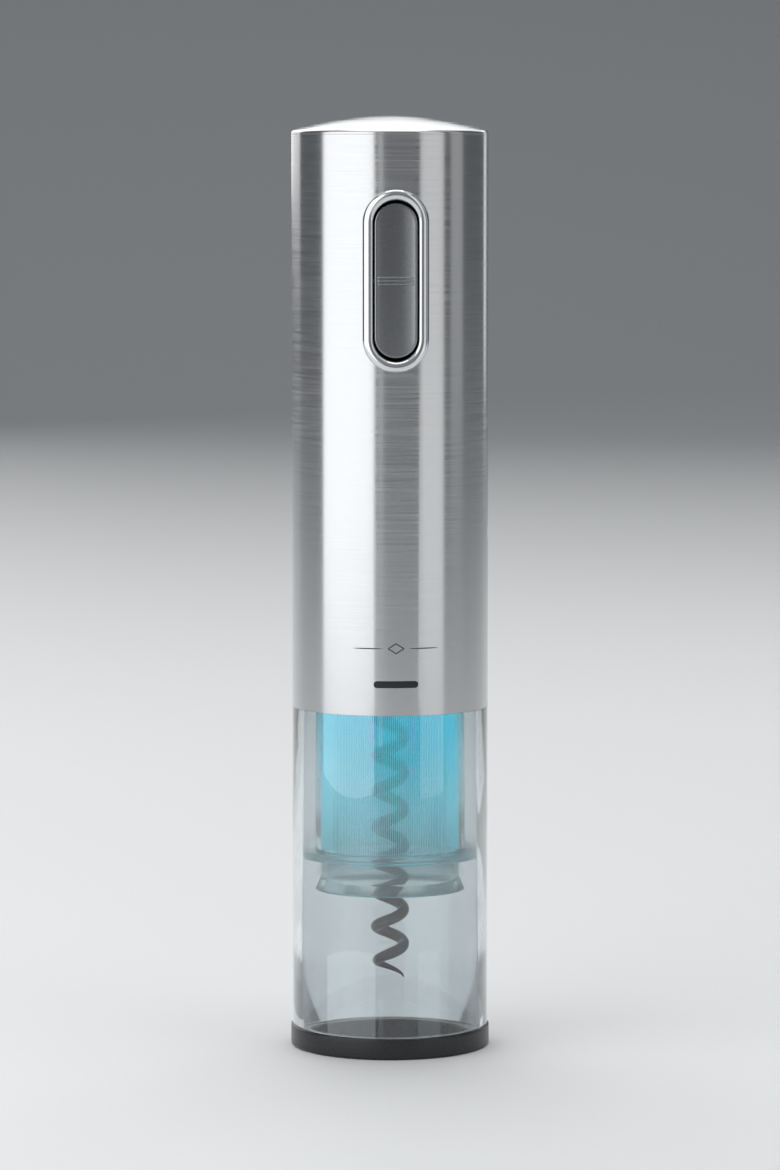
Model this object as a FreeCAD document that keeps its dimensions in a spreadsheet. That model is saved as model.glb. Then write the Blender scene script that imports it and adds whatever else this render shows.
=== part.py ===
# Electric wine opener, in millimetres with +Z up.
# The origin is the centre of the neck opening on the base ring's underside; the switch faces -Y.
import FreeCAD, Part
import math
import os

from FreeCAD import Vector
import Sketcher

doc = FreeCAD.newDocument("wineOpener")
sizes = doc.addObject("Spreadsheet::Sheet", "sizes")

drivingSizes = [
    # overall
    ("bodyDia", 48, "outside of the steel sleeve and the clear tube"),
    ("ringHeight", 5.2, "base ring"),
    ("clearHeight", 78.8, "clear tube between the base ring and the steel"),
    ("sleeveHeight", 139.5, "steel sleeve"),
    ("domeRise", 3.6, "top cap, centre above the edge band"),
    ("capBand", 0.9, "top cap's straight edge above the sleeve"),
    ("capRound", 0.8, "rounding of the top cap's edge"),
    # walls and gaps
    ("sleeveWall", 0.7, "steel sleeve"),
    ("tubeWall", 2.5, "clear tube"),
    ("closeGap", 0.05, "radial gap of pieces that slide together"),
    ("runGap", 0.04, "radial gap of turning shafts"),
    ("looseGap", 0.3, "gap round pieces that move or are hidden"),
    # base ring and clear tube
    ("neckOpening", 38, "opening for the bottle neck"),
    ("ringFloor", 2.2, "base ring under the clear tube"),
    ("ringBreak", 0.8, "chamfer of the base ring's outer edge"),
    ("ringProud", 0.4, "base ring stands out from the clear tube"),
    ("footSpigotStep", 1.2, "clear tube's foot, set back from the outside"),
    ("spigotHeight", 13, "clear tube inside the steel sleeve"),
    # cork chamber and light guide
    ("chamberBore", 25, "bore for the cork"),
    ("chamberWall", 1.5, "cork chamber"),
    ("seatHeight", 47, "where the lip of the bottle stops"),
    ("flangeThick", 2, "chamber flanges"),
    ("collarBore", 31, "collar round the lip of the bottle"),
    ("collarDrop", 8, "collar below the seat"),
    ("guideBore", 34, "light guide"),
    ("guideWall", 1.5, "light guide"),
    # worm
    ("wormTip", 17.5, "height of the point"),
    ("wormDia", 9.4, "outside of the helix"),
    ("wireDia", 2.7, "worm wire"),
    ("wormPitch", 8.2, "one turn of the worm"),
    ("headDia", 10.4, "worm head"),
    ("headHeight", 6, "worm head"),
    ("stubDia", 5, "worm's shank in the spindle"),
    # bulkhead
    ("plateThick", 6, "bulkhead plate"),
    ("ledPocket", 3.2, "depth of the lamp pocket"),
    ("ledBoardThick", 1.2, "lamp board"),
    ("bushWall", 2.5, "output bush"),
    ("spindleDia", 8, "output spindle"),
    # gearbox
    ("gearModule", 0.5, "pitch diameter over teeth"),
    ("sunTeeth", 12, "sun gears"),
    ("planetTeeth", 24, "planet gears"),
    ("backlash", 0.09, "tooth thinning at the pitch circle, each gear"),
    ("faceWidth", 4, "planet gears"),
    ("carrierThick", 2.5, "output carrier"),
    ("firstCarrierThick", 2, "first carrier"),
    ("carrierDia", 25, "both carriers"),
    ("planetPinDia", 2.5, "planet pins"),
    ("housingWall", 1.8, "gearbox housing outside the teeth"),
    ("lidThick", 2, "gearbox lid"),
    # motor
    ("canDia", 24.2, "motor can"),
    ("canLength", 30, "motor can"),
    ("canWall", 0.8, "motor can"),
    ("motorShaftDia", 2, "motor shaft"),
    ("bossDia", 6, "motor's front boss"),
    ("bossHeight", 1.5, "motor's front boss"),
    ("capThick", 2, "motor's end cap"),
    # cells and boards
    ("cellDia", 14.2, "battery cell"),
    ("cellLength", 50, "battery cell"),
    ("cellGap", 0.4, "between the two cells"),
    ("boardThick", 1.2, "main board"),
    ("boardWidth", 30, "main board"),
    ("boardHeight", 52, "main board"),
    # chassis
    ("chassisWall", 2, "chassis shells"),
    ("chassisGap", 0.7, "chassis shells inside the sleeve"),
    # switch
    ("bezelWidth", 16.1, "chrome bezel, outside"),
    ("bezelHeight", 43.8, "chrome bezel, outside"),
    ("beadWidth", 2.6, "chrome bezel's bead"),
    ("beadRise", 1.1, "chrome bezel proud of the sleeve"),
    ("bezelDrop", 13, "bezel's top below the sleeve's rim"),
    ("wellWall", 0.9, "switch well"),
    ("rockerProud", 0.35, "rocker face proud of the sleeve"),
    ("rockerThick", 3.8, "rocker plate at its middle"),
    ("pivotDepth", 5.5, "rocker pin behind the sleeve's face"),
    ("rockerPinDia", 2, "rocker pin"),
    ("fingerSpread", 10, "each finger from the rocker pin"),
    ("plungerDia", 3.2, "switch plungers"),
    # charging socket and indicator
    ("socketHeight", 42.8, "charging socket above the steel's lower edge"),
    ("socketWidth", 7.5, "charging socket"),
    ("socketThick", 2.5, "charging socket"),
    ("socketDepth", 5.2, "charging socket"),
    ("lensWidth", 10.7, "indicator window"),
    ("lensHeight", 1.6, "indicator window"),
    ("lensRise", 7.6, "indicator window above the steel's lower edge"),
    # screws: shank diameters, and the holes round them
    ("tubeScrewDia", 1.6, "clear tube onto the bulkhead"),
    ("chamberScrewDia", 1.5, "cork chamber onto the bulkhead"),
    ("gearboxScrewDia", 1.6, "gearbox onto the bulkhead"),
    ("motorScrewDia", 2, "motor onto the gearbox lid"),
    ("lidScrewDia", 1.1, "lid onto the gearbox"),
    ("chassisScrewDia", 2, "chassis shells together"),
    ("screwGap", 0.2, "a hole that a screw passes, wider than the screw"),
    ("tapGap", 0.04, "a threaded hole, wider than its screw"),
    # lamps
    ("lampDia", 1.8, "blue lamps"),
    ("lampHeight", 1.2, "blue lamps"),
]

for row, (name, number, note) in enumerate(drivingSizes, start=1):
    sizes.set(f"A{row}", name)
    sizes.set(f"B{row}", str(number))
    sizes.set(f"C{row}", note)
    sizes.setAlias(f"B{row}", name)
doc.recompute()

# ---------------------------------------------------------------- helpers

up = (0, 0, 1)
right = (1, 0, 0)
back = (0, 1, 0)
nodes = []


def value(expression):
    result = sizes.evalExpression(expression)
    return float(getattr(result, "Value", result))


def bind(item, **expressions):
    for name, expression in expressions.items():
        item.setExpression(name, expression)
    return item


def place(item, start, direction=up):
    # turn the piece's own Z onto the direction, then bind its start to the sheet
    item.Placement = FreeCAD.Placement(Vector(), FreeCAD.Rotation(Vector(*up), Vector(*direction)))
    for axisName, expression in zip("xyz", start):
        if expression != "0":
            item.setExpression("Placement.Base." + axisName, expression)
    return item


def rod(name, dia, length, start=("0", "0", "0"), direction=up):
    item = doc.addObject("Part::Cylinder", name)
    bind(item, Radius=f"({dia}) / 2", Height=length)
    return place(item, start, direction)


def block(name, low, high):
    item = doc.addObject("Part::Box", name)
    bind(item, Length=f"({high[0]}) - ({low[0]})", Width=f"({high[1]}) - ({low[1]})",
         Height=f"({high[2]}) - ({low[2]})")
    return place(item, low)


def tube(name, outerDia, innerDia, low, high):
    outside = rod(name + "Outside", outerDia, f"({high}) - ({low})", ("0", "0", low))
    inside = rod(name + "Inside", innerDia, f"({high}) - ({low})", ("0", "0", low))
    return cut(name, outside, [inside])


def fuse(name, pieces):
    item = doc.addObject("Part::MultiFuse", name)
    item.Shapes = pieces
    item.Refine = True
    return item


def cut(name, base, tools):
    item = doc.addObject("Part::Cut", name)
    item.Base = base
    item.Tool = tools[0] if len(tools) == 1 else fuse(name + "Tools", tools)
    return item


def common(name, pieces):
    item = doc.addObject("Part::MultiCommon", name)
    item.Shapes = pieces
    return item


def group(name, pieces):
    item = doc.addObject("Part::Compound", name)
    item.Links = pieces
    return item


def stadiumBar(name, width, height, middle, front, rear):
    # upright bar with round ends, running along Y from front to rear
    depth = f"({rear}) - ({front})"
    half = f"(({height}) - ({width})) / 2"
    trunk = block(name + "Trunk", (f"-({width}) / 2", front, f"({middle}) - {half}"),
                  (f"({width}) / 2", rear, f"({middle}) + {half}"))
    top = rod(name + "Top", width, depth, ("0", front, f"({middle}) + {half}"), back)
    foot = rod(name + "Foot", width, depth, ("0", front, f"({middle}) - {half}"), back)
    return fuse(name, [trunk, top, foot])


def slotBar(name, width, height, middle, front, rear):
    # flat bar with round ends at left and right, running along Y
    depth = f"({rear}) - ({front})"
    half = f"(({width}) - ({height})) / 2"
    trunk = block(name + "Trunk", (f"-({half})", front, f"({middle}) - ({height}) / 2"),
                  (half, rear, f"({middle}) + ({height}) / 2"))
    ends = [rod(f"{name}End{side}", height, depth, (f"{side} * ({half})", front, middle), back)
            for side in (-1, 1)]
    return fuse(name, [trunk] + ends)


def originPlane(body, role):
    return next(item for item in body.Origin.OriginFeatures if item.Role == role)


def pinCorner(sketch, line, radius, height):
    # fix the start of a sketch line at its radius and height, by expression
    for kind, axis, expression in (("DistanceX", -2, radius), ("DistanceY", -1, height)):
        if value(expression) == 0:
            sketch.addConstraint(Sketcher.Constraint("PointOnObject", line, 1, axis))
            continue
        index = sketch.addConstraint(
            Sketcher.Constraint(kind, -1, 1, line, 1, value(expression)))
        sketch.setExpression(f"Constraints[{index}]", expression)


def turned(name, corners, angle=360):
    # body of revolution about Z; corners are (radius, height) expressions round its half section
    body = doc.addObject("PartDesign::Body", name)
    sketch = body.newObject("Sketcher::SketchObject", name + "Profile")
    sketch.AttachmentSupport = (originPlane(body, "XZ_Plane"), [""])
    sketch.MapMode = "FlatFace"
    places = [Vector(value(radius), value(height), 0) for radius, height in corners]
    count = len(corners)
    for index in range(count):
        sketch.addGeometry(Part.LineSegment(places[index], places[(index + 1) % count]))
    for index in range(count):
        sketch.addConstraint(Sketcher.Constraint("Coincident", index, 2, (index + 1) % count, 1))
    for index, (radius, height) in enumerate(corners):
        pinCorner(sketch, index, radius, height)
    turn = body.newObject("PartDesign::Revolution", name + "Turn")
    turn.Profile = sketch
    turn.ReferenceAxis = (sketch, ["V_Axis"])
    turn.Angle = angle
    sketch.Visibility = False
    return body


def roundEdges(body, feature, radius, wanted):
    # fillet the feature's edges that the test wants, inside its body
    doc.recompute()
    edges = [f"Edge{number}" for number, edge in enumerate(feature.Shape.Edges, start=1)
             if wanted(edge)]
    rounded = body.newObject("PartDesign::Fillet", body.Name + "Round")
    rounded.Base = (feature, edges)
    rounded.setExpression("Radius", radius)
    return rounded


def atHeight(height, radius):
    # a test for the circle of this radius at this height
    def wanted(edge):
        if edge.Degenerated:
            return False
        curve = edge.Curve
        return (isinstance(curve, Part.Circle) and abs(curve.Center.z - value(height)) < 1e-4
                and abs(curve.Radius - value(radius)) < 1e-4)
    return wanted


def node(label, item):
    # the piece becomes a node of this name
    item.Label = label
    nodes.append(item)
    return item


def shapeNode(label, shape, turn=0):
    # a piece whose form neither a sketch nor a primitive gives, turned about Z by so many degrees
    item = doc.addObject("Part::Feature", label + "Shape")
    item.Shape = shape
    item.Placement = FreeCAD.Placement(Vector(), FreeCAD.Rotation(Vector(*up), turn)).multiply(shape.Placement)
    return node(label, item)


def ringPoint(radius, degrees):
    # x and y expressions of a point on a circle about Z
    return (f"({radius}) * cos({degrees} deg)", f"({radius}) * sin({degrees} deg)")


def outward(degrees):
    return (math.cos(math.radians(degrees)), math.sin(math.radians(degrees)), 0)


# each kind of screw: the sheet's name of its shank, then its head and its length under the head
screwKinds = {
    "tube": dict(shank="sizes.tubeScrewDia", headDia="3", headHeight="0.9", length="2.6"),
    "chamber": dict(shank="sizes.chamberScrewDia", headDia="2.7", headHeight="1.1", length="6"),
    "gearbox": dict(shank="sizes.gearboxScrewDia", headDia="2.7", headHeight="1.2", length="4"),
    "motor": dict(shank="sizes.motorScrewDia", headDia="3.6", headHeight="0.8", length="sizes.lidThick + 2"),
    "lid": dict(shank="sizes.lidScrewDia", headDia="2.2", headHeight="0.9", length="sizes.lidThick + 5"),
    "chassis": dict(shank="sizes.chassisScrewDia", headDia="3.6", headHeight="1.2", length="10"),
}


def screw(name, kind, start, direction):
    # pan-head screw; start is the underside of the head, direction runs to its point
    size = screwKinds[kind]
    head = rod(name + "Head", size["headDia"], size["headHeight"], start, tuple(-part for part in direction))
    shank = rod(name + "Shank", size["shank"], size["length"], start, direction)
    return fuse(name, [head, shank])


def tapped(kind):
    # diameter of the threaded hole of this kind of screw
    return f"{screwKinds[kind]['shank']} + sizes.tapGap"


def passing(kind, part="shank"):
    # diameter of the hole that this kind of screw's shank or head passes
    return f"{screwKinds[kind][part]} + sizes.screwGap"


# ---------------------------------------------------------------- shared radii and heights

bodyRadius = "(sizes.bodyDia / 2)"
ringOuter = f"({bodyRadius} + sizes.ringProud)"
sleeveInner = "(sizes.bodyDia / 2 - sizes.sleeveWall)"
spigotOuter = f"({sleeveInner} - sizes.closeGap)"
tubeInner = "(sizes.bodyDia / 2 - sizes.tubeWall)"
footOuter = "(sizes.bodyDia / 2 - sizes.footSpigotStep)"
rimOuter = f"({tubeInner} - 2 * sizes.closeGap)"
chassisOuter = f"({sleeveInner} - sizes.chassisGap)"
chassisInner = f"({chassisOuter} - sizes.chassisWall)"
chamberOuter = "(sizes.chamberBore / 2 + sizes.chamberWall)"
collarOuter = "(sizes.collarBore / 2 + sizes.chamberWall)"
guideInner = "(sizes.guideBore / 2)"
guideOuter = "(sizes.guideBore / 2 + sizes.guideWall)"
topFlange = f"({guideOuter} + 0.6)"
seatOuter = f"({tubeInner} - 2 * sizes.closeGap)"
rimInner = f"({topFlange} + 2 * sizes.closeGap)"

steelBottom = "(sizes.ringHeight + sizes.clearHeight)"
sleeveTop = f"({steelBottom} + sizes.sleeveHeight)"
spigotTop = f"({steelBottom} + sizes.spigotHeight)"
plateBottom = f"({spigotTop} + 1)"
plateTop = f"({plateBottom} + sizes.plateThick)"
guideBottom = "(sizes.seatHeight + sizes.flangeThick)"
guideTop = f"({plateBottom} - sizes.flangeThick - sizes.closeGap)"

# ---------------------------------------------------------------- base ring and clear parts

baseRing = turned("baseRing", [
    ("sizes.neckOpening / 2", "0"),
    (f"{ringOuter} - sizes.ringBreak", "0"),
    (ringOuter, "sizes.ringBreak"),
    (ringOuter, "sizes.ringHeight"),
    (f"{footOuter} + sizes.closeGap", "sizes.ringHeight"),
    (f"{footOuter} + sizes.closeGap", "sizes.ringFloor"),
    (f"{tubeInner} - sizes.closeGap", "sizes.ringFloor"),
    (f"{tubeInner} - sizes.closeGap", "sizes.ringHeight"),
    ("sizes.neckOpening / 2", "sizes.ringHeight"),
])
node("base_ring", baseRing)

clearTube = turned("clearTube", [
    (tubeInner, "sizes.ringFloor + sizes.closeGap"),
    (footOuter, "sizes.ringFloor + sizes.closeGap"),
    (footOuter, "sizes.ringHeight"),
    (bodyRadius, "sizes.ringHeight"),
    (bodyRadius, steelBottom),
    (spigotOuter, steelBottom),
    (spigotOuter, spigotTop),
    (tubeInner, spigotTop),
])
tubeScrewAngles = (90, 210, 330)
tubeScrewHeight = f"({steelBottom} + sizes.spigotHeight * 0.66)"
tubeScrewSeat = f"({spigotOuter} - 1.05)"
tubeHoles = []
tubeScrews = []
rimPilots = []
for angle in tubeScrewAngles:
    seat = ringPoint(tubeScrewSeat, angle) + (tubeScrewHeight,)
    inside = ringPoint(f"{tubeInner} - 1", angle) + (tubeScrewHeight,)
    tubeHoles.append(rod(f"tubeHeadHole{angle}", passing("tube", "headDia"), "3", seat, outward(angle)))
    tubeHoles.append(rod(f"tubeShankHole{angle}", passing("tube"), "5", inside, outward(angle)))
    tubeScrews.append(screw(f"tubeScrew{angle}", "tube", seat, outward(angle + 180)))
    pilotStart = ringPoint(f"{rimInner} - 1", angle) + (tubeScrewHeight,)
    rimPilots.append(rod(f"rimPilot{angle}", tapped("tube"), f"{rimOuter} - {rimInner} + 2", pilotStart,
                         outward(angle)))
node("outer_tube", cut("outerTube", clearTube, tubeHoles))
node("tube_screws", group("tubeScrews", tubeScrews))

chamberBlank = turned("chamberBlank", [
    ("sizes.chamberBore / 2", "sizes.seatHeight"),
    ("sizes.collarBore / 2", "sizes.seatHeight"),
    ("sizes.collarBore / 2", "sizes.seatHeight - sizes.collarDrop * 0.7"),
    ("sizes.collarBore / 2 + 1.5", "sizes.seatHeight - sizes.collarDrop"),
    (f"{collarOuter} + 1.4", "sizes.seatHeight - sizes.collarDrop"),
    (collarOuter, "sizes.seatHeight - sizes.collarDrop * 0.64"),
    (collarOuter, "sizes.seatHeight"),
    (seatOuter, "sizes.seatHeight"),
    (seatOuter, guideBottom),
    (chamberOuter, guideBottom),
    (chamberOuter, f"{plateBottom} - sizes.flangeThick"),
    (topFlange, f"{plateBottom} - sizes.flangeThick"),
    (topFlange, plateBottom),
    ("sizes.chamberBore / 2", plateBottom),
])
chamberScrewAngles = (30, 150, 270)
chamberScrewRing = f"(({chamberOuter} + {guideInner}) / 2)"
chamberHoles = []
chamberScrews = []
for angle in chamberScrewAngles:
    spot = ringPoint(chamberScrewRing, angle)
    under = spot + (f"{plateBottom} - sizes.flangeThick",)
    below = spot + (f"{plateBottom} - sizes.flangeThick - 1",)
    chamberHoles.append(rod(f"chamberHole{angle}", passing("chamber"), "4", below))
    chamberScrews.append(screw(f"chamberScrew{angle}", "chamber", under, up))
node("cork_chamber", cut("corkChamber", chamberBlank, chamberHoles))
node("chamber_screws", group("chamberScrews", chamberScrews))

node("light_guide", tube("lightGuide", f"2 * {guideOuter}", "sizes.guideBore", guideBottom, guideTop))

# ---------------------------------------------------------------- worm and spindle heights

bushOuter = "(sizes.spindleDia / 2 + sizes.runGap + sizes.bushWall)"
bushFlangeThick = "0.8"
washerThick = "0.5"
washerBottom = f"({plateBottom} - {bushFlangeThick} - {washerThick} - 0.05)"
headTop = f"({washerBottom} - 0.05)"
headBottom = f"({headTop} - sizes.headHeight)"
carrierBottom = f"({plateTop} + 1.2)"
carrierTop = f"({carrierBottom} + sizes.carrierThick)"
outputGearBottom = f"({carrierTop} + 0.3)"
outputGearTop = f"({outputGearBottom} + sizes.faceWidth)"
firstCarrierBottom = f"({outputGearTop} + 0.6)"
firstCarrierTop = f"({firstCarrierBottom} + sizes.firstCarrierThick)"
firstGearBottom = f"({firstCarrierTop} + 0.4)"
firstGearTop = f"({firstGearBottom} + sizes.faceWidth)"
lidBottom = f"({firstGearTop} + 1.5)"
lidTop = f"({lidBottom} + sizes.lidThick)"
stubTop = f"({carrierTop} - 0.7)"
crossPinHeight = f"({plateBottom} + 3)"

# ---------------------------------------------------------------- worm


def wormShape():
    # wire swept along a helix, ending in a point, with a head and shank on the axis
    wireRadius = value("sizes.wireDia / 2")
    coilRadius = value("(sizes.wormDia - sizes.wireDia) / 2")
    pitch = value("sizes.wormPitch")
    pointRise = 0.75 * pitch
    tip = value("sizes.wormTip")
    top = value(f"{headBottom} + 1")
    coil = sweptHelix(coilRadius, pitch, tip + pointRise, top, [wireRadius, wireRadius])
    point = sweptHelix(coilRadius, pitch, tip, tip + pointRise, [0.12 * wireRadius, wireRadius])
    head = Part.makeCylinder(value("sizes.headDia / 2"), value("sizes.headHeight"),
                             Vector(0, 0, value(headBottom)))
    rim = [edge for edge in head.Edges if isinstance(edge.Curve, Part.Circle)]
    head = head.makeChamfer(0.5, rim)
    shank = Part.makeCylinder(value("sizes.stubDia / 2"), value(f"{stubTop} - {headTop}"),
                              Vector(0, 0, value(headTop)))
    hole = Part.makeCylinder(0.77, 2 * value("sizes.spindleDia"),
                             Vector(0, -value("sizes.spindleDia"), value(crossPinHeight)), Vector(0, 1, 0))
    turned = coil.fuse([point, head, shank]).removeSplitter()
    return turned.cut(hole)


def sweptHelix(coilRadius, pitch, low, high, wireRadii):
    # circle of each end's radius carried up one stretch of the helix that starts on +X at the worm's tip
    startTurn = 360 * (low - value("sizes.wormTip")) / pitch
    spine = Part.makeHelix(pitch, high - low, coilRadius)
    sections = []
    for rise, radius in zip((0, high - low), wireRadii):
        angle = 2 * math.pi * rise / pitch
        centre = Vector(coilRadius * math.cos(angle), coilRadius * math.sin(angle), rise)
        along = Vector(-coilRadius * math.sin(angle), coilRadius * math.cos(angle), pitch / (2 * math.pi))
        sections.append(Part.Wire(Part.Edge(Part.Circle(centre, along, radius))))
    if wireRadii[0] == wireRadii[1]:
        sections = sections[:1]
    sweep = Part.BRepOffsetAPI.MakePipeShell(Part.Wire(spine))
    sweep.setFrenetMode(True)
    for section in sections:
        sweep.add(section)
    sweep.build()
    sweep.makeSolid()
    solid = sweep.shape()
    solid.rotate(Vector(), Vector(0, 0, 1), startTurn)
    solid.translate(Vector(0, 0, low))
    return solid


shapeNode("worm", wormShape())
node("worm_pin", rod("wormPin", "1.5", "sizes.spindleDia - 0.2",
                     ("0", "-(sizes.spindleDia / 2 - 0.1)", crossPinHeight), back))
node("thrust_washer", tube("thrustWasher", "sizes.spindleDia + 7", "sizes.spindleDia + 2 * sizes.runGap",
                           washerBottom, f"{washerBottom} + {washerThick}"))
node("output_bush", turned("outputBush", [
    ("sizes.spindleDia / 2 + sizes.runGap", f"{plateBottom} - {bushFlangeThick}"),
    (f"{bushOuter} + 1.5", f"{plateBottom} - {bushFlangeThick}"),
    (f"{bushOuter} + 1.5", plateBottom),
    (bushOuter, plateBottom),
    (bushOuter, plateTop),
    ("sizes.spindleDia / 2 + sizes.runGap", plateTop),
]))

# ---------------------------------------------------------------- gears


def involute(angle):
    return math.tan(angle) - angle


def gearWire(teeth, thinning, addendum, dedendum):
    # closed outline of a spur gear; each flank is an arc through three points of its involute
    module = value("sizes.gearModule")
    pressure = math.radians(25)
    pitchRadius = module * teeth / 2
    baseRadius = pitchRadius * math.cos(pressure)
    rootRadius = pitchRadius - dedendum * module
    tipRadius = pitchRadius + addendum * module
    halfTooth = (math.pi * module / 2 - thinning) / (2 * pitchRadius)

    def halfAngle(radius):
        return halfTooth + involute(pressure) - involute(math.acos(min(1, baseRadius / radius)))

    def spot(radius, angle):
        return Vector(radius * math.cos(angle), radius * math.sin(angle), 0)

    startRadius = max(baseRadius, rootRadius)
    middleRadius = (startRadius + tipRadius) / 2
    edges = []
    for tooth in range(teeth):
        centre = 2 * math.pi * tooth / teeth
        flanks = []
        for side in (-1, 1):
            flanks.append([spot(radius, centre + side * halfAngle(radius))
                           for radius in (startRadius, middleRadius, tipRadius)])
        foot = halfAngle(startRadius)
        rising, falling = flanks
        rootStart = spot(rootRadius, centre - foot)
        rootEnd = spot(rootRadius, centre + foot)
        nextRoot = spot(rootRadius, centre + 2 * math.pi / teeth - foot)
        if startRadius > rootRadius:
            edges.append(Part.makeLine(rootStart, rising[0]))
        edges.append(Part.Arc(*rising).toShape())
        edges.append(Part.Arc(rising[2], spot(tipRadius, centre), falling[2]).toShape())
        edges.append(Part.Arc(*reversed(falling)).toShape())
        if startRadius > rootRadius:
            edges.append(Part.makeLine(falling[0], rootEnd))
        edges.append(Part.Arc(rootEnd, spot(rootRadius, centre + math.pi / teeth), nextRoot).toShape())
    return Part.Wire(edges)


def gearSolid(teeth, thinning, low, high, addendum=1.0, dedendum=1.25):
    blank = Part.Face(gearWire(teeth, thinning, addendum, dedendum))
    solid = blank.extrude(Vector(0, 0, high - low))
    solid.translate(Vector(0, 0, low))
    return solid


sunTeeth = int(value("sizes.sunTeeth"))
planetTeeth = int(value("sizes.planetTeeth"))
ringTeeth = sunTeeth + 2 * planetTeeth
thinning = value("sizes.backlash")
planetRing = "(sizes.gearModule * (sizes.sunTeeth + sizes.planetTeeth) / 2)"
ringRoot = "(sizes.gearModule * (sizes.sunTeeth + 2 * sizes.planetTeeth) / 2 + 1.25 * sizes.gearModule)"
housingOuter = f"({ringRoot} + sizes.housingWall)"
planetAngles = (0, 120, 240)


def planetSet(label, low, high):
    # three planets, each with a gap of its teeth towards the sun and towards the ring
    shape = gearSolid(planetTeeth, thinning, value(low), value(high))
    shape.rotate(Vector(), Vector(0, 0, 1), 180 / planetTeeth)
    bore = Part.makeCylinder(value("sizes.planetPinDia / 2 + sizes.runGap"), value(high) - value(low),
                             Vector(0, 0, value(low)))
    shape = shape.cut(bore)
    shape.translate(Vector(value(planetRing), 0, 0))
    for number, angle in enumerate(planetAngles, start=1):
        shapeNode(f"{label}_planet_{number}", shape, angle)


def pinSet(name, low, high):
    return group(name, [rod(f"{name}{angle}", "sizes.planetPinDia", f"({high}) - ({low})",
                            ringPoint(planetRing, angle) + (low,)) for angle in planetAngles])


def pinHoles(name, low, high):
    return [rod(f"{name}{angle}", "sizes.planetPinDia", f"({high}) - ({low})",
                ringPoint(planetRing, angle) + (low,)) for angle in planetAngles]


carrierDisc = rod("carrierDisc", "sizes.carrierDia", "sizes.carrierThick", ("0", "0", carrierBottom))
carrierShaft = rod("carrierShaft", "sizes.spindleDia", f"{carrierBottom} - {headTop} + 0.5",
                   ("0", "0", f"{headTop} + 0.05"))
shaftSocket = rod("shaftSocket", "sizes.stubDia + 0.04", f"{carrierTop} - {headTop} + 2",
                  ("0", "0", f"{headTop} - 1"))
shaftCrossHole = rod("shaftCrossHole", "1.54", "sizes.spindleDia + 2",
                     ("0", "-(sizes.spindleDia / 2 + 1)", crossPinHeight), back)
outputPinLow = f"{carrierBottom} + 0.2"
outputPinHigh = f"{outputGearTop} + 0.3"
outputBlank = fuse("outputCarrierBlank", [carrierDisc, carrierShaft])
outputHoles = [shaftSocket, shaftCrossHole] + pinHoles("outputPinHole", outputPinLow, outputPinHigh)
node("output_carrier", cut("outputCarrier", outputBlank, outputHoles))
node("output_planet_pins", pinSet("outputPins", outputPinLow, outputPinHigh))
planetSet("output", outputGearBottom, outputGearTop)

firstPinLow = f"{firstCarrierBottom} + 0.2"
firstPinHigh = f"{firstGearTop} + 0.3"


def firstCarrierShape():
    # disc with the output stage's sun gear below it
    disc = Part.makeCylinder(value("sizes.carrierDia / 2"), value("sizes.firstCarrierThick"),
                             Vector(0, 0, value(firstCarrierBottom)))
    sun = gearSolid(sunTeeth, thinning, value(outputGearBottom), value(firstCarrierBottom))
    shape = disc.fuse(sun)
    for angle in planetAngles:
        spot = [value(part) for part in ringPoint(planetRing, angle)]
        shape = shape.cut(Part.makeCylinder(value("sizes.planetPinDia / 2"), value("sizes.firstCarrierThick"),
                                            Vector(spot[0], spot[1], value(firstPinLow))))
    return shape


shapeNode("first_carrier", firstCarrierShape())
node("first_planet_pins", pinSet("firstPins", firstPinLow, firstPinHigh))
planetSet("first", firstGearBottom, firstGearTop)

flangeTop = f"({plateTop} + 2)"
gearboxScrewRing = f"({housingOuter} + 1.6)"
flangeRadius = f"({gearboxScrewRing} + 1.4)"
gearboxScrewAngles = (60, 180, 300)
lidScrewAngles = (0, 120, 240)
lidScrewRing = f"({housingOuter} - 0.9)"
wireRing = f"({housingOuter} + 0.9)"
wireAngles = (247, 253)
wireDia = "0.9"
wireHoleDia = f"({wireDia} + 0.4)"
lidTapDepth = 6


def housingShape():
    # ring gear with a screw flange, open at both ends
    low = value(plateTop)
    high = value(lidBottom)
    shape = Part.makeCylinder(value(housingOuter), high - low, Vector(0, 0, low))
    shape = shape.fuse(Part.makeCylinder(value(flangeRadius), value(flangeTop) - low, Vector(0, 0, low)))
    space = gearSolid(ringTeeth, -thinning, low, high, addendum=1.25, dedendum=1.0)
    space.rotate(Vector(), Vector(0, 0, 1), 180 / ringTeeth)
    shape = shape.cut(space)
    through = high - low
    for ring, angles, dia, depth in ((gearboxScrewRing, gearboxScrewAngles, passing("gearbox"), through),
                                     (lidScrewRing, lidScrewAngles, tapped("lid"), lidTapDepth),
                                     (wireRing, wireAngles, wireHoleDia, through)):
        for angle in angles:
            spot = [value(part) for part in ringPoint(ring, angle)]
            hole = Part.makeCylinder(value(dia) / 2, depth, Vector(spot[0], spot[1], high - depth))
            shape = shape.cut(hole)
    return shape


shapeNode("gearbox_housing", housingShape())
gearboxScrews = [screw(f"gearboxScrew{angle}", "gearbox", ringPoint(gearboxScrewRing, angle) + (flangeTop,),
                       (0, 0, -1))
                 for angle in gearboxScrewAngles]
node("gearbox_screws", group("gearboxScrews", gearboxScrews))

# ---------------------------------------------------------------- bulkhead

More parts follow.
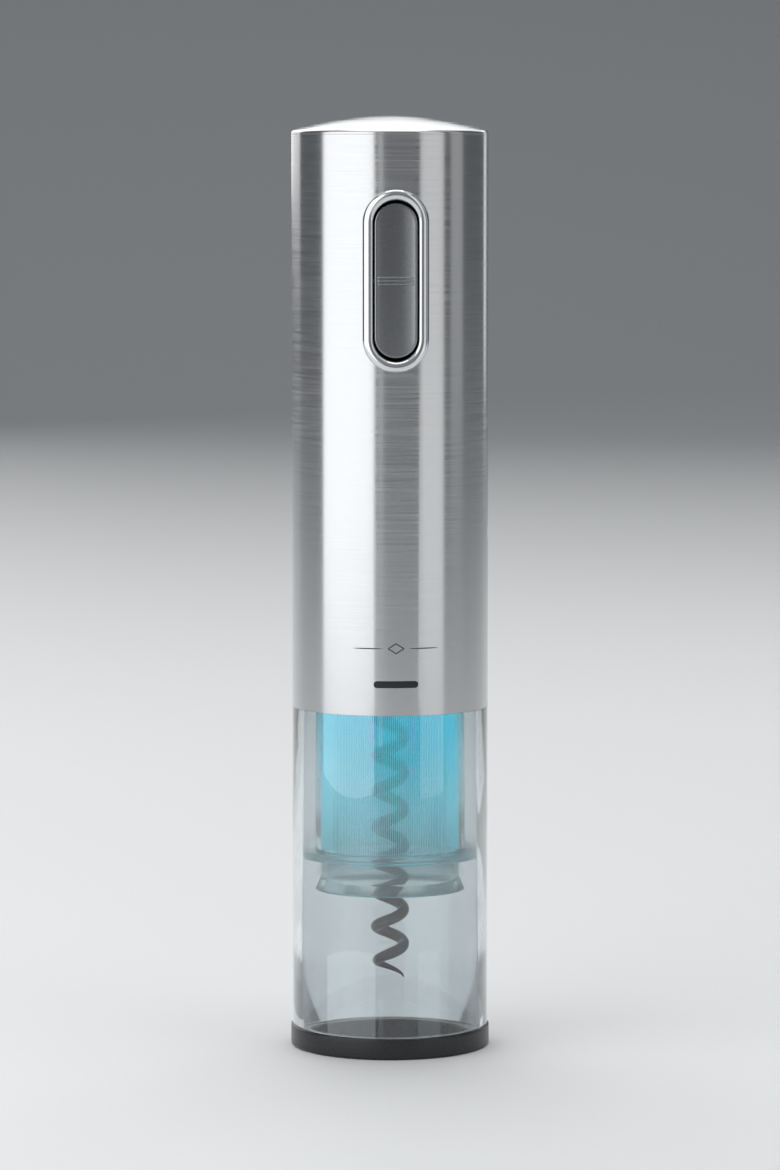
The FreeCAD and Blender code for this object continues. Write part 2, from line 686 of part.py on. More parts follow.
bulkheadBlank = turned("bulkheadBlank", [
    (bushOuter, plateBottom),
    (f"{guideInner} - 0.6", plateBottom),
    (f"{guideInner} - 0.6", f"{plateBottom} + sizes.ledPocket"),
    (rimInner, f"{plateBottom} + sizes.ledPocket"),
    (rimInner, f"{steelBottom} + 4"),
    (rimOuter, f"{steelBottom} + 4"),
    (rimOuter, f"{spigotTop} + 0.1"),
    (f"{spigotOuter} - sizes.closeGap", f"{spigotTop} + 0.1"),
    (f"{spigotOuter} - sizes.closeGap", plateTop),
    (bushOuter, plateTop),
])
lensMiddle = f"({steelBottom} + sizes.lensRise)"
indicatorWindow = block("indicatorWindow",
                        ("-sizes.lensWidth / 2 - 0.8", f"-{tubeInner}", f"{lensMiddle} - 2.2"),
                        ("sizes.lensWidth / 2 + 0.8", f"-{rimInner} * 0.8", f"{lensMiddle} + 2.2"))
bulkheadTools = [indicatorWindow] + rimPilots
for angle in chamberScrewAngles:
    bulkheadTools.append(rod(f"bulkheadPilot{angle}", tapped("chamber"), "5",
                             ringPoint(chamberScrewRing, angle) + (f"{plateBottom} - 0.5",)))
for angle in gearboxScrewAngles:
    bulkheadTools.append(rod(f"gearboxPilot{angle}", tapped("gearbox"), "2.6",
                             ringPoint(gearboxScrewRing, angle) + (f"{plateTop} - 2.2",)))
for angle in wireAngles:
    bulkheadTools.append(rod(f"wireHole{angle}", wireHoleDia, "sizes.plateThick + 2",
                             ringPoint(wireRing, angle) + (f"{plateBottom} - 1",)))
node("bulkhead", cut("bulkhead", bulkheadBlank, bulkheadTools))

# lamp board with its lamps, shining down into the light guide
ledBoardTop = f"({plateBottom} + sizes.ledPocket - 0.2)"
ledBoardBottom = f"({ledBoardTop} - sizes.ledBoardThick)"
node("led_board", tube("ledBoard", f"2 * ({rimInner} - 0.1)", f"2 * ({guideInner} - 0.5)",
                       ledBoardBottom, ledBoardTop))
ledRing = f"(({guideInner} + {guideOuter}) / 2)"
lamps = []
for angle in range(0, 360, 60):
    lamps.append(rod(f"lamp{angle}", "sizes.lampDia", "sizes.lampHeight",
                     ringPoint(ledRing, angle) + (f"{ledBoardBottom} - sizes.lampHeight",)))
node("blue_leds", group("blueLeds", lamps))

# indicator behind the steel: window, board and two lamps
lensBar = slotBar("lensBar", "sizes.lensWidth", "sizes.lensHeight", lensMiddle, f"-{bodyRadius} - 1",
                  f"-{bodyRadius} + 6")
lensShell = tube("lensShell", "sizes.bodyDia", f"2 * {sleeveInner}", steelBottom, sleeveTop)
node("indicator_lens", common("indicatorLens", [lensBar, lensShell]))
node("indicator_board", block("indicatorBoard",
                              ("-sizes.lensWidth / 2", f"-{rimInner} - 0.6", f"{lensMiddle} - 1.9"),
                              ("sizes.lensWidth / 2", f"-{rimInner}", f"{lensMiddle} + 1.9")))
indicatorLamps = [block(f"indicatorLamp{number}",
                        (f"{middle} - 0.8", f"-{rimInner} - 1.3", f"{lensMiddle} - 0.4"),
                        (f"{middle} + 0.8", f"-{rimInner} - 0.6", f"{lensMiddle} + 0.4"))
                  for number, middle in enumerate(("-3", "3"))]
node("indicator_leds", group("indicatorLamps", indicatorLamps))

# ---------------------------------------------------------------- motor

canBottom = lidTop
canTop = f"({canBottom} + sizes.canLength)"
canInner = "(sizes.canDia / 2 - sizes.canWall)"
bushTop = f"({canBottom} + 1.5)"
motorBushDia = "4"
motorScrewSpread = "8.5"
node("motor_can", cut("motorCan", turned("motorCanBlank", [
    (f"{motorBushDia} / 2", f"{canBottom} - sizes.bossHeight"),
    ("sizes.bossDia / 2", f"{canBottom} - sizes.bossHeight"),
    ("sizes.bossDia / 2", canBottom),
    ("sizes.canDia / 2", canBottom),
    ("sizes.canDia / 2", canTop),
    (canInner, canTop),
    (canInner, f"{canBottom} + sizes.canWall"),
    (f"{motorBushDia} / 2", f"{canBottom} + sizes.canWall"),
]), [rod(f"motorTap{side}", tapped("motor"), "4", (f"{side} * {motorScrewSpread}", "0", f"{canBottom} - 1"))
    for side in (-1, 1)]))

motorScrews = [screw(f"motorScrew{side}", "motor", (f"{side} * {motorScrewSpread}", "0", lidBottom), up)
               for side in (-1, 1)]
node("motor_screws", group("motorScrews", motorScrews))

lidTools = [rod("lidBore", "sizes.bossDia + 0.1", "sizes.lidThick + 2", ("0", "0", f"{lidBottom} - 1"))]
for side in (-1, 1):
    lidTools.append(rod(f"lidMotorHole{side}", passing("motor"), "sizes.lidThick + 2",
                        (f"{side} * {motorScrewSpread}", "0", f"{lidBottom} - 1")))
lidScrews = []
for angle in lidScrewAngles:
    lidTools.append(rod(f"lidHole{angle}", passing("lid"), "sizes.lidThick + 2",
                        ringPoint(lidScrewRing, angle) + (f"{lidBottom} - 1",)))
    lidScrews.append(screw(f"lidScrew{angle}", "lid", ringPoint(lidScrewRing, angle) + (lidTop,), (0, 0, -1)))
node("gearbox_lid", cut("gearboxLid", rod("lidDisc", f"2 * {housingOuter}", "sizes.lidThick",
                                          ("0", "0", lidBottom)), lidTools))
node("lid_screws", group("lidScrews", lidScrews))

magnetInner = f"({canInner} - 1.15)"
magnetTube = tube("magnetTube", f"2 * ({canInner} - 0.05)", f"2 * {magnetInner}",
                  f"{canBottom} + 4", f"{canTop} - 4")
magnetGap = block("magnetGap", (f"-{canInner}", "-4", f"{canBottom} + 3"), (canInner, "4", f"{canTop} - 3"))
node("motor_magnets", cut("motorMagnets", magnetTube, [magnetGap]))

shaftBottom = f"({firstGearBottom} - 0.1)"
shaftTop = f"({canTop} + 2.8)"
node("motor_shaft", rod("motorShaft", "sizes.motorShaftDia", f"{shaftTop} - {shaftBottom}",
                        ("0", "0", shaftBottom)))


def bushing(name, low, high):
    return tube(name, f"{motorBushDia} - 0.02", "sizes.motorShaftDia + 2 * sizes.runGap", low, high)


node("motor_bushes", group("motorBushes", [
    bushing("frontBush", f"{canBottom} - sizes.bossHeight", bushTop),
    bushing("rearBush", f"{canTop} - 0.6", f"{canTop} + 2.4"),
]))

pinion = gearSolid(sunTeeth, thinning, value(firstGearBottom), value(f"{firstGearTop} + 0.6"))
pinionBore = Part.makeCylinder(value("sizes.motorShaftDia / 2"), value("sizes.faceWidth + 2"),
                               Vector(0, 0, value(firstGearBottom) - 1))
shapeNode("motor_pinion", pinion.cut(pinionBore))

coreLow = f"({canBottom} + 5)"
coreHigh = f"({canTop} - 5)"
coreTools = [rod("coreBore", "sizes.motorShaftDia", "sizes.canLength", ("0", "0", canBottom))]
for angle in planetAngles:
    slotSpot = ringPoint("7.4", angle) + (f"{coreLow} - 1",)
    coreTools.append(rod(f"coreSlot{angle}", "4.6", "sizes.canLength", slotSpot))
    coreTools.append(rod(f"coreMouth{angle}", "2.2", "sizes.canLength",
                         ringPoint("9.6", angle) + (f"{coreLow} - 1",)))
node("armature_core", cut("armatureCore", rod("coreBlank", f"2 * ({magnetInner} - 0.4)",
                                              f"{coreHigh} - {coreLow}", ("0", "0", coreLow)), coreTools))
windings = []
for angle in planetAngles:
    start = ringPoint("7.4", angle) + (f"{coreLow} - 1.5",)
    windings.append(rod(f"winding{angle}", "4.2", f"{coreHigh} - {coreLow} + 3", start))
node("armature_windings", group("windings", windings))
node("commutator", tube("commutatorRing", "6.4", "sizes.motorShaftDia", f"{coreHigh} + 1.7",
                        f"{coreHigh} + 4.2"))

endCapBlank = turned("endCapBlank", [
    (f"{motorBushDia} / 2", f"{canTop} + 0.4"),
    (f"{motorBushDia} / 2", f"{canTop} - 0.6"),
    ("4", f"{canTop} - 0.6"),
    ("4", canTop),
    (f"{canInner} - 1.8", canTop),
    (f"{canInner} - 1.8", f"{canTop} - 3"),
    (f"{canInner} - 0.05", f"{canTop} - 3"),
    (f"{canInner} - 0.05", canTop),
    ("sizes.canDia / 2", canTop),
    ("sizes.canDia / 2", f"{canTop} + sizes.capThick"),
    (f"{motorBushDia} / 2", f"{canTop} + sizes.capThick"),
])
terminalBottom = f"({canTop} + sizes.capThick)"
terminals = [block(f"terminal{side}", (f"{side} * 8.5 - 1.25", "-0.25", terminalBottom),
                   (f"{side} * 8.5 + 1.25", "0.25", f"{terminalBottom} + 3.4")) for side in (-1, 1)]
node("motor_end_cap", group("motorEndCap", [endCapBlank] + terminals))

# ---------------------------------------------------------------- cells and main board

shelfBottom = f"({terminalBottom} + 4)"
shelfTop = f"({shelfBottom} + 1.2)"
cellBottom = f"({shelfTop} + 0.7)"
cellTop = f"({cellBottom} + sizes.cellLength)"
cellShift = "((sizes.cellDia + sizes.cellGap) / 2)"
cellBack = "7.6"
cells = [rod(f"cell{side}", "sizes.cellDia", "sizes.cellLength", (f"{side} * {cellShift}", cellBack, cellBottom))
         for side in (-1, 1)]
node("battery_cells", group("batteryCells", cells))
tabs = [block(f"lowerTab{side}", (f"{side} * {cellShift} - 2.5", "-1.5", f"{cellBottom} - 0.3"),
              (f"{side} * {cellShift} + 2.5", f"{cellBack} + 2", cellBottom)) for side in (-1, 1)]
tabs.append(block("upperTab", (f"-{cellShift} - 2.5", f"{cellBack} - 2.5", cellTop),
                  (f"{cellShift} + 2.5", f"{cellBack} + 2.5", f"{cellTop} + 0.3")))
node("battery_tabs", group("batteryTabs", tabs))

switchMiddle = f"({sleeveTop} - sizes.bezelDrop - sizes.bezelHeight / 2)"
boardRear = "-8"
boardFront = f"({boardRear} - sizes.boardThick)"
boardBottom = f"({switchMiddle} - sizes.boardHeight / 2)"
boardTop = f"({switchMiddle} + sizes.boardHeight / 2)"
node("main_board", block("mainBoard", ("-sizes.boardWidth / 2", boardFront, boardBottom),
                         ("sizes.boardWidth / 2", boardRear, boardTop)))
chipPlaces = (("-10.5", "-19", "5", "4"), ("9", "-20", "4", "5"), ("9.5", "21", "5", "3"), ("-9", "20", "3", "6"),
              ("0", "0", "6", "6"))
chips = []
for number, (across, rise, width, height) in enumerate(chipPlaces):
    low = (f"{across} - {width} / 2", f"{boardFront} - 1.1", f"{switchMiddle} + {rise} - {height} / 2")
    high = (f"{across} + {width} / 2", boardFront, f"{switchMiddle} + {rise} + {height} / 2")
    chips.append(block(f"chip{number}", low, high))
node("board_chips", group("boardChips", chips))

# ---------------------------------------------------------------- switch

pivotY = f"(-{bodyRadius} + sizes.pivotDepth)"
wellInnerWidth = "(sizes.bezelWidth - 2 * sizes.beadWidth)"
wellInnerHeight = "(sizes.bezelHeight - 2 * sizes.beadWidth)"
wellOuterWidth = f"({wellInnerWidth} + 2 * sizes.wellWall)"
wellOuterHeight = f"({wellInnerHeight} + 2 * sizes.wellWall)"
platePivotGap = "2.4"
wellPlateFront = f"({pivotY} + {platePivotGap})"
wellPlateRear = f"({wellPlateFront} + 0.9)"
frontAir = f"(-{bodyRadius} - 4)"
fingerDia = "2"
fingerTip = f"({wellPlateRear} + 0.6)"
plungerFront = f"({fingerTip} + 0.1)"

# half-round bead on the sleeve, with two pegs through it
beadShell = tube("beadShell", "sizes.bodyDia + 2 * sizes.beadRise", "sizes.bodyDia + 0.04",
                 f"{sleeveTop} - sizes.bezelDrop - sizes.bezelHeight - 1", f"{sleeveTop} - sizes.bezelDrop + 1")
beadRing = cut("beadRing",
               stadiumBar("beadOutside", "sizes.bezelWidth", "sizes.bezelHeight", switchMiddle, frontAir,
                          f"-{sleeveInner} + 3"),
               [stadiumBar("beadInside", wellInnerWidth, wellInnerHeight, switchMiddle, f"{frontAir} - 1",
                           f"-{sleeveInner} + 4")])
pegSpread = "(sizes.bezelHeight / 2 - 0.7)"
pegs = [rod(f"bezelPeg{side}", "0.9", "1.75",
            ("0", f"-{bodyRadius} - 0.5", f"{switchMiddle} + {side} * {pegSpread}"),
            back) for side in (-1, 1)]
node("switch_bezel", fuse("switchBezel", [common("beadCurved", [beadRing, beadShell])] + pegs))
pegHoles = [rod(f"pegHole{side}", "1", "4",
                ("0", f"-{bodyRadius} - 1", f"{switchMiddle} + {side} * {pegSpread}"),
                back) for side in (-1, 1)]

# moulded well behind the bezel: wall, inner flange, back plate
wellBar = stadiumBar("wellBar", wellOuterWidth, wellOuterHeight, switchMiddle, frontAir, wellPlateRear)
wellFlangeBar = stadiumBar("wellFlangeBar", f"{wellOuterWidth} + 3", f"{wellOuterHeight} + 0.7", switchMiddle,
                           frontAir, f"-{sleeveInner} + 3.5")
wellLimit = rod("wellLimit", f"2 * ({bodyRadius} - 0.05)", "sizes.bezelHeight + 10",
                ("0", "0", f"{switchMiddle} - sizes.bezelHeight / 2 - 5"))
flangeShell = tube("wellFlangeShell", f"2 * ({sleeveInner} - 0.1)", f"2 * ({sleeveInner} - 1.1)",
                   f"{switchMiddle} - sizes.bezelHeight / 2 - 5", f"{switchMiddle} + sizes.bezelHeight / 2 + 5")
wellBlank = fuse("wellBlank", [common("wellTrimmed", [wellBar, wellLimit]),
                               common("wellFlange", [wellFlangeBar, flangeShell])])
wellTools = [stadiumBar("wellHollow", wellInnerWidth, wellInnerHeight, switchMiddle, f"{frontAir} - 1",
                        wellPlateFront)]
wellTools.append(rod("wellPinHole", "sizes.rockerPinDia", f"{wellOuterWidth} + 2",
                     (f"-{wellOuterWidth} / 2 - 1", pivotY, switchMiddle), right))
for side in (-1, 1):
    wellTools.append(rod(f"fingerHole{side}", f"{fingerDia} + 1", "3",
                         ("0", f"{wellPlateFront} - 1", f"{switchMiddle} + {side} * sizes.fingerSpread"), back))
node("switch_well", cut("switchWell", wellBlank, wellTools))
node("rocker_pin", rod("rockerPin", "sizes.rockerPinDia", f"{wellOuterWidth} - 0.1",
                       (f"-{wellOuterWidth} / 2 + 0.05", pivotY, switchMiddle), right))

# rocker: curved face, hub on the pin, two fingers and three fine ridges
rockerWidth = f"({wellInnerWidth} - 2 * sizes.looseGap)"
rockerHeight = f"({wellInnerHeight} - 4 * sizes.looseGap)"
rockerRear = f"(-{bodyRadius} - sizes.rockerProud + sizes.rockerThick)"
rockerBar = stadiumBar("rockerBar", rockerWidth, rockerHeight, switchMiddle, frontAir, rockerRear)
rockerFace = rod("rockerFace", f"2 * ({bodyRadius} + sizes.rockerProud)", f"{rockerHeight} + 2",
                 ("0", "0", f"{switchMiddle} - {rockerHeight} / 2 - 1"))
hub = rod("rockerHub", "4.2", f"{rockerWidth} - 0.4",
          (f"-{rockerWidth} / 2 + 0.2", pivotY, switchMiddle), right)
web = block("rockerWeb", (f"-{rockerWidth} / 2 + 0.2", f"{rockerRear} - 0.5", f"{switchMiddle} - 2.1"),
            (f"{rockerWidth} / 2 - 0.2", pivotY, f"{switchMiddle} + 2.1"))
fingers = [rod(f"rockerFinger{side}", fingerDia, f"{fingerTip} - {rockerRear} + 0.5",
               ("0", f"{rockerRear} - 0.5", f"{switchMiddle} + {side} * sizes.fingerSpread"), back)
           for side in (-1, 1)]
ridgeFace = tube("ridgeFace", f"2 * ({bodyRadius} + sizes.rockerProud + 0.2)", "sizes.bodyDia",
                 f"{switchMiddle} - 3", f"{switchMiddle} + 3")
ridgeBars = [block(f"ridgeBar{step}",
                   (f"-{rockerWidth} / 2 + 0.6", frontAir, f"{switchMiddle} + {step} * 0.8 - 0.2"),
                   (f"{rockerWidth} / 2 - 0.6", f"-{bodyRadius} + 3", f"{switchMiddle} + {step} * 0.8 + 0.2"))
             for step in (-1, 0, 1)]
ridges = [common(f"ridge{number}", [bar, ridgeFace]) for number, bar in enumerate(ridgeBars)]
rockerBlank = fuse("rockerBlank", [common("rockerPlate", [rockerBar, rockerFace]), hub, web] + fingers + ridges)
node("rocker_button", cut("rockerButton", rockerBlank, [
    rod("rockerBore", "sizes.rockerPinDia + 2 * sizes.runGap", f"{rockerWidth} + 2",
        (f"-{rockerWidth} / 2 - 1", pivotY, switchMiddle), right)]))

# two push switches on the main board, each with its plunger
switchBodies = []
for side, label in ((1, "upper_plunger"), (-1, "lower_plunger")):
    rise = f"({switchMiddle} + {side} * sizes.fingerSpread)"
    shell = block(f"pushBody{side}", ("-3", f"{plungerFront} + 1.6", f"{rise} - 3"),
                  ("3", boardFront, f"{rise} + 3"))
    hole = rod(f"pushHole{side}", "sizes.plungerDia + 2 * sizes.closeGap", "3.4",
               ("0", f"{plungerFront} + 1", rise), back)
    switchBodies.append(cut(f"pushSwitch{side}", shell, [hole]))
    node(label, rod(f"plunger{side}", "sizes.plungerDia", "3.5", ("0", plungerFront, rise), back))
node("push_switches", group("pushSwitches", switchBodies))

# ---------------------------------------------------------------- charging socket

socketMiddle = f"({steelBottom} + sizes.socketHeight)"
socketMouth = f"({sleeveInner} + 0.2)"
socketRear = f"({socketMouth} - sizes.socketDepth)"
socketShell = block("socketShell",
                    (socketRear, "-sizes.socketWidth / 2", f"{socketMiddle} - sizes.socketThick / 2"),
                    (socketMouth, "sizes.socketWidth / 2", f"{socketMiddle} + sizes.socketThick / 2"))
socketHollow = block("socketHollow", (f"{socketRear} + 0.8", "-sizes.socketWidth / 2 + 0.3",
                                      f"{socketMiddle} - sizes.socketThick / 2 + 0.3"),
                     (f"{socketMouth} + 1", "sizes.socketWidth / 2 - 0.3",
                      f"{socketMiddle} + sizes.socketThick / 2 - 0.3"))
socketTongue = block("socketTongue", (f"{socketRear} + 0.8", "-1.8", f"{socketMiddle} + 0.1"),
                     (f"{socketMouth} - 0.6", "1.8", f"{socketMiddle} + 0.6"))
node("usb_socket", group("usbSocket", [cut("socketCase", socketShell, [socketHollow]), socketTongue]))
usbBoardTop = f"({socketMiddle} - sizes.socketThick / 2)"
node("usb_board", block("usbBoard", ("sizes.canDia / 2 + 0.6", "-6.5", f"{usbBoardTop} - 0.9"),
                        (f"{sleeveInner} - 1.3", "6.5", usbBoardTop)))

# ---------------------------------------------------------------- steel sleeve and top cap

sleeveBlank = tube("sleeveBlank", "sizes.bodyDia", f"2 * {sleeveInner}", steelBottom, sleeveTop)
frontEnd = "-10"
switchHole = stadiumBar("switchHole", f"{wellOuterWidth} + 0.2", f"{wellOuterHeight} + 0.2", switchMiddle,
                        frontAir, frontEnd)
lensHole = slotBar("lensHole", "sizes.lensWidth + 0.1", "sizes.lensHeight + 0.1", lensMiddle, frontAir, frontEnd)
socketHole = []
for side in (-1, 1):
    socketHole.append(rod(f"socketHoleEnd{side}", "4", "20", ("10", f"{side} * 2.7", socketMiddle), right))
socketHole.append(block("socketHoleTrunk", ("10", "-2.7", f"{socketMiddle} - 2"),
                        ("30", "2.7", f"{socketMiddle} + 2")))
node("steel_sleeve", cut("steelSleeve", sleeveBlank, [switchHole, lensHole] + socketHole + pegHoles))


def topCapBody():
    # shallow dome over a straight band, with a skirt inside the sleeve
    body = doc.addObject("PartDesign::Body", "topCap")
    sketch = body.newObject("Sketcher::SketchObject", "topCapProfile")
    sketch.AttachmentSupport = (originPlane(body, "XZ_Plane"), [""])
    sketch.MapMode = "FlatFace"
    domeTop = f"{sleeveTop} + sizes.capBand + sizes.domeRise"
    corners = [
        ("0", f"{sleeveTop} - 1"),
        (f"{spigotOuter} - 1.2", f"{sleeveTop} - 1"),
        (f"{spigotOuter} - 1.2", f"{sleeveTop} - 5.5"),
        (spigotOuter, f"{sleeveTop} - 5.5"),
        (spigotOuter, sleeveTop),
        (bodyRadius, sleeveTop),
        (bodyRadius, f"{sleeveTop} + sizes.capBand"),
        ("0", domeTop),
    ]
    places = [Vector(value(radius), value(height), 0) for radius, height in corners]
    last = len(places) - 1
    edge = places[last - 1]
    rise = value("sizes.domeRise")
    domeRadius = (edge.x ** 2 + rise ** 2) / (2 * rise)
    centre = Vector(0, places[last].y - domeRadius, 0)
    for index in range(last - 1):
        sketch.addGeometry(Part.LineSegment(places[index], places[index + 1]))
    dome = Part.Circle(centre, Vector(0, 0, 1), domeRadius)
    startAngle = math.atan2(edge.y - centre.y, edge.x)
    sketch.addGeometry(Part.ArcOfCircle(dome, startAngle, math.pi / 2))
    sketch.addGeometry(Part.LineSegment(places[last], places[0]))
    for index in range(last + 1):
        sketch.addConstraint(Sketcher.Constraint("Coincident", index, 2, (index + 1) % (last + 1), 1))
    for index, (radius, height) in enumerate(corners):
        pinCorner(sketch, index, radius, height)
    sketch.addConstraint(Sketcher.Constraint("PointOnObject", last - 1, 3, -2))
    turn = body.newObject("PartDesign::Revolution", "topCapTurn")
    turn.Profile = sketch
    turn.ReferenceAxis = (sketch, ["V_Axis"])
    turn.Angle = 360
    roundEdges(body, turn, "sizes.capRound", atHeight(f"{sleeveTop} + sizes.capBand", bodyRadius))
    return body


node("top_cap", topCapBody())

# ---------------------------------------------------------------- chassis shells

chassisBottom = plateTop
chassisTop = f"({sleeveTop} - 6)"
saddleHeights = (f"({canBottom} + 8)", f"({canTop} - 4)")
bossSpread = f"({chassisInner} - 2.4)"
bossHeights = (f"({canBottom} + 18)", f"({switchMiddle} + 10)")


def chassisShell(name, side):
    # half shell with saddles for the motor, a shelf and lid for the cells, and screw bosses
    front = side < 0
    low = "-30" if front else "0"
    high = "0" if front else "30"
    halfSpace = block(name + "Half", ("-30", low, f"{chassisBottom} - 5"), ("30", high, f"{chassisTop} + 5"))
    wall = tube(name + "Wall", f"2 * {chassisOuter}", f"2 * {chassisInner}", chassisBottom, chassisTop)
    pieces = [wall]
    for number, height in enumerate(saddleHeights):
        pieces.append(tube(f"{name}Saddle{number}", f"2 * {chassisInner} + 0.4", "sizes.canDia + 0.1",
                           height, f"{height} + 2"))
    ribs = [(f"{cellTop} + 1.2", f"{cellTop} + 2.4")]
    if not front:
        ribs.append((shelfBottom, shelfTop))
    for number, (ribLow, ribHigh) in enumerate(ribs):
        pieces.append(rod(f"{name}Rib{number}", f"2 * {chassisInner} + 0.4", f"({ribHigh}) - ({ribLow})",
                          ("0", "0", ribLow)))
    bossStart = "-6" if front else "0"
    bosses = [rod(f"{name}Boss{number}{across}", "4.4", "6",
                  (f"{across} * {bossSpread}", bossStart, height), back)
              for number, height in enumerate(bossHeights) for across in (-1, 1)]
    shell = common(name + "Blank", [fuse(name + "Body", pieces + bosses), halfSpace])
    tools = [block(name + "SocketGap", ("sizes.canDia / 2 + 0.5", "-7", f"{usbBoardTop} - 1"),
                   ("30", "7", f"{socketMiddle} + 2.2"))]
    for number, height in enumerate(bossHeights):
        for across in (-1, 1):
            spot = (f"{across} * {bossSpread}", "-20" if front else "-1", height)
            tools.append(rod(f"{name}Hole{number}{across}", passing("chassis") if front else tapped("chassis"),
                             "30" if front else "6.2", spot, back))
            if front:
                reach = (spot[0], "-20", height)
                tools.append(rod(f"{name}Reach{number}{across}", "4", "14", reach, back))
    if front:
        tools.append(stadiumBar(name + "Window", f"{wellOuterWidth} + 4", f"{wellOuterHeight} + 2.4", switchMiddle,
                                frontAir, f"{boardFront} - 2"))
        tools.append(block(name + "BoardGap", ("-sizes.boardWidth / 2 - 0.3", f"{boardFront} - 1.4",
                                               f"{boardBottom} - 0.3"),
                           ("sizes.boardWidth / 2 + 0.3", f"{boardRear} + 0.3", f"{boardTop} + 0.3")))
        tools.append(block(name + "WireGap", ("-10", f"-{wireRing} - 1", f"{chassisBottom} - 1"),
                           ("-3", "-13", f"{boardBottom} + 3")))
    else:
        tools.append(block(name + "ShelfFront", ("-15", "-1", f"{shelfBottom} - 1"),
                           ("15", "0.5", f"{shelfTop} + 1")))
    return cut(name, shell, tools)


node("chassis_front", chassisShell("chassisFront", -1))
node("chassis_rear", chassisShell("chassisRear", 1))
chassisScrews = [screw(f"chassisScrew{number}{across}", "chassis", (f"{across} * {bossSpread}", "-6", height),
                       back)
                 for number, height in enumerate(bossHeights) for across in (-1, 1)]
node("chassis_screws", group("chassisScrews", chassisScrews))

# ---------------------------------------------------------------- leads


def lead(corners, dia):
    # round wire along straight runs joined by tangent arcs
    spots = [Vector(*[value(part) for part in corner]) for corner in corners]
    edges = []
    start = spots[0]
    for index in range(1, len(spots) - 1):
        corner = spots[index]
        before = corner - spots[index - 1]
        after = spots[index + 1] - corner
        half = before.getAngle(after) / 2
        radius = 0.45 * min(before.Length, after.Length) / math.tan(half)
        reach = radius * math.tan(half)
        arcStart = corner - before.normalize() * reach
        arcEnd = corner + after.normalize() * reach
        inward = (arcStart + arcEnd) * 0.5 - corner
        middle = corner + inward.normalize() * (radius / math.cos(half) - radius)
        edges.append(Part.LineSegment(start, arcStart).toShape())
        edges.append(Part.Arc(arcStart, middle, arcEnd).toShape())
        start = arcEnd
    edges.append(Part.LineSegment(start, spots[-1]).toShape())
    path = Part.Wire(edges)
    along = spots[1] - spots[0]
    section = Part.Wire(Part.Edge(Part.Circle(spots[0], along, dia / 2)))
    solid = path.makePipeShell([section], True, False)
    print("lead", round(path.Length, 2), round(solid.Volume / (math.pi * dia ** 2 / 4), 2))
    return solid


def leadNode(label, routes, dia):
    shapeNode(label, Part.makeCompound([lead(route, dia) for route in routes]))


leadHeight = f"({boardBottom} + 5)"
motorLeads = [[(f"{side} * 8.5", boardRear, leadHeight),
               (f"{side} * 8.5", "-4.2", leadHeight),
               (f"{side} * 8.5", "-4.2", f"{terminalBottom} + 2"),
               (f"{side} * 8.5", "-0.25", f"{terminalBottom} + 2")] for side in (-1, 1)]
cellLeads = [[(f"{side} * 5.6", boardRear, f"{leadHeight} + 2"),
              (f"{side} * 5.6", "-4.8", f"{leadHeight} + 2"),
              (f"{side} * 5.6", "-4.8", f"{cellBottom} - 0.15"),
              (f"{side} * 5.6", "-1.5", f"{cellBottom} - 0.15")] for side in (-1, 1)]
leadNode("power_leads", motorLeads + cellLeads, 1.2)
ledLeadTop = f"({boardBottom} + 2)"
leadNode("led_leads", [[ringPoint(wireRing, angle) + (ledBoardTop,),
                        ringPoint(wireRing, angle) + (ledLeadTop,),
                        (ringPoint(wireRing, angle)[0], boardFront, ledLeadTop)]
                       for angle in wireAngles], float(wireDia))

# ---------------------------------------------------------------- check and write

doc.recompute()
for item in doc.Objects:
    for state in ("Invalid", "Error"):
        if state in item.State:
            raise RuntimeError(f"{item.Label} is {state}")
for item in nodes:
    if item.Shape.isNull() or not item.Shape.isValid():
        raise RuntimeError(f"{item.Label} has no valid shape")

os.makedirs("parts", exist_ok=True)
for item in nodes:
    item.Shape.exportStep(f"parts/{item.Label}.step")
    print(f"{item.Label:22s} {len(item.Shape.Solids)} solids {item.Shape.Volume:10.1f} mm3")
print(len(nodes), "nodes written")
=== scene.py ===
# Electric wine opener: looks, light and camera, in metres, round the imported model.
import bmesh
import bpy
import math
import numpy as np
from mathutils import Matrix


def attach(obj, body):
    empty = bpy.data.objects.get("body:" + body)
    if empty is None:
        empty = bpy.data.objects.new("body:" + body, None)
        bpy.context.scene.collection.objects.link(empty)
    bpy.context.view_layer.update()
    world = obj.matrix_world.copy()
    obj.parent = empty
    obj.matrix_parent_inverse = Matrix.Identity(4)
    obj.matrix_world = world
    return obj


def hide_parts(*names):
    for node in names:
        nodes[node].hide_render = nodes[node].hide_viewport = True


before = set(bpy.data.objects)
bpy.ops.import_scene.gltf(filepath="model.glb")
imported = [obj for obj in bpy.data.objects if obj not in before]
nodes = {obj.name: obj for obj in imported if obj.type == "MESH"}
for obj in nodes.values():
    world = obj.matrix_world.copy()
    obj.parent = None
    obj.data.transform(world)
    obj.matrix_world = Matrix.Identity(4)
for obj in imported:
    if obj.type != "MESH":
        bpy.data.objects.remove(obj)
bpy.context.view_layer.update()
print("frame loaded:", len(nodes), "nodes")

mm = 0.001
fullTurn = 2 * math.pi


# helpers for shapes: every shape is worked out in millimetres

def gridFaces(rows, columns, closedRows, closedColumns):
    # quads between neighbouring rows and columns of a grid, wrapping round where it is closed
    row = np.arange(rows if closedRows else rows - 1)
    column = np.arange(columns if closedColumns else columns - 1)
    r, c = np.meshgrid(row, column, indexing="ij")
    nextR, nextC = (r + 1) % rows, (c + 1) % columns
    corners = [r * columns + c, nextR * columns + c, nextR * columns + nextC, r * columns + nextC]
    return np.stack(corners, -1).reshape(-1, 4)


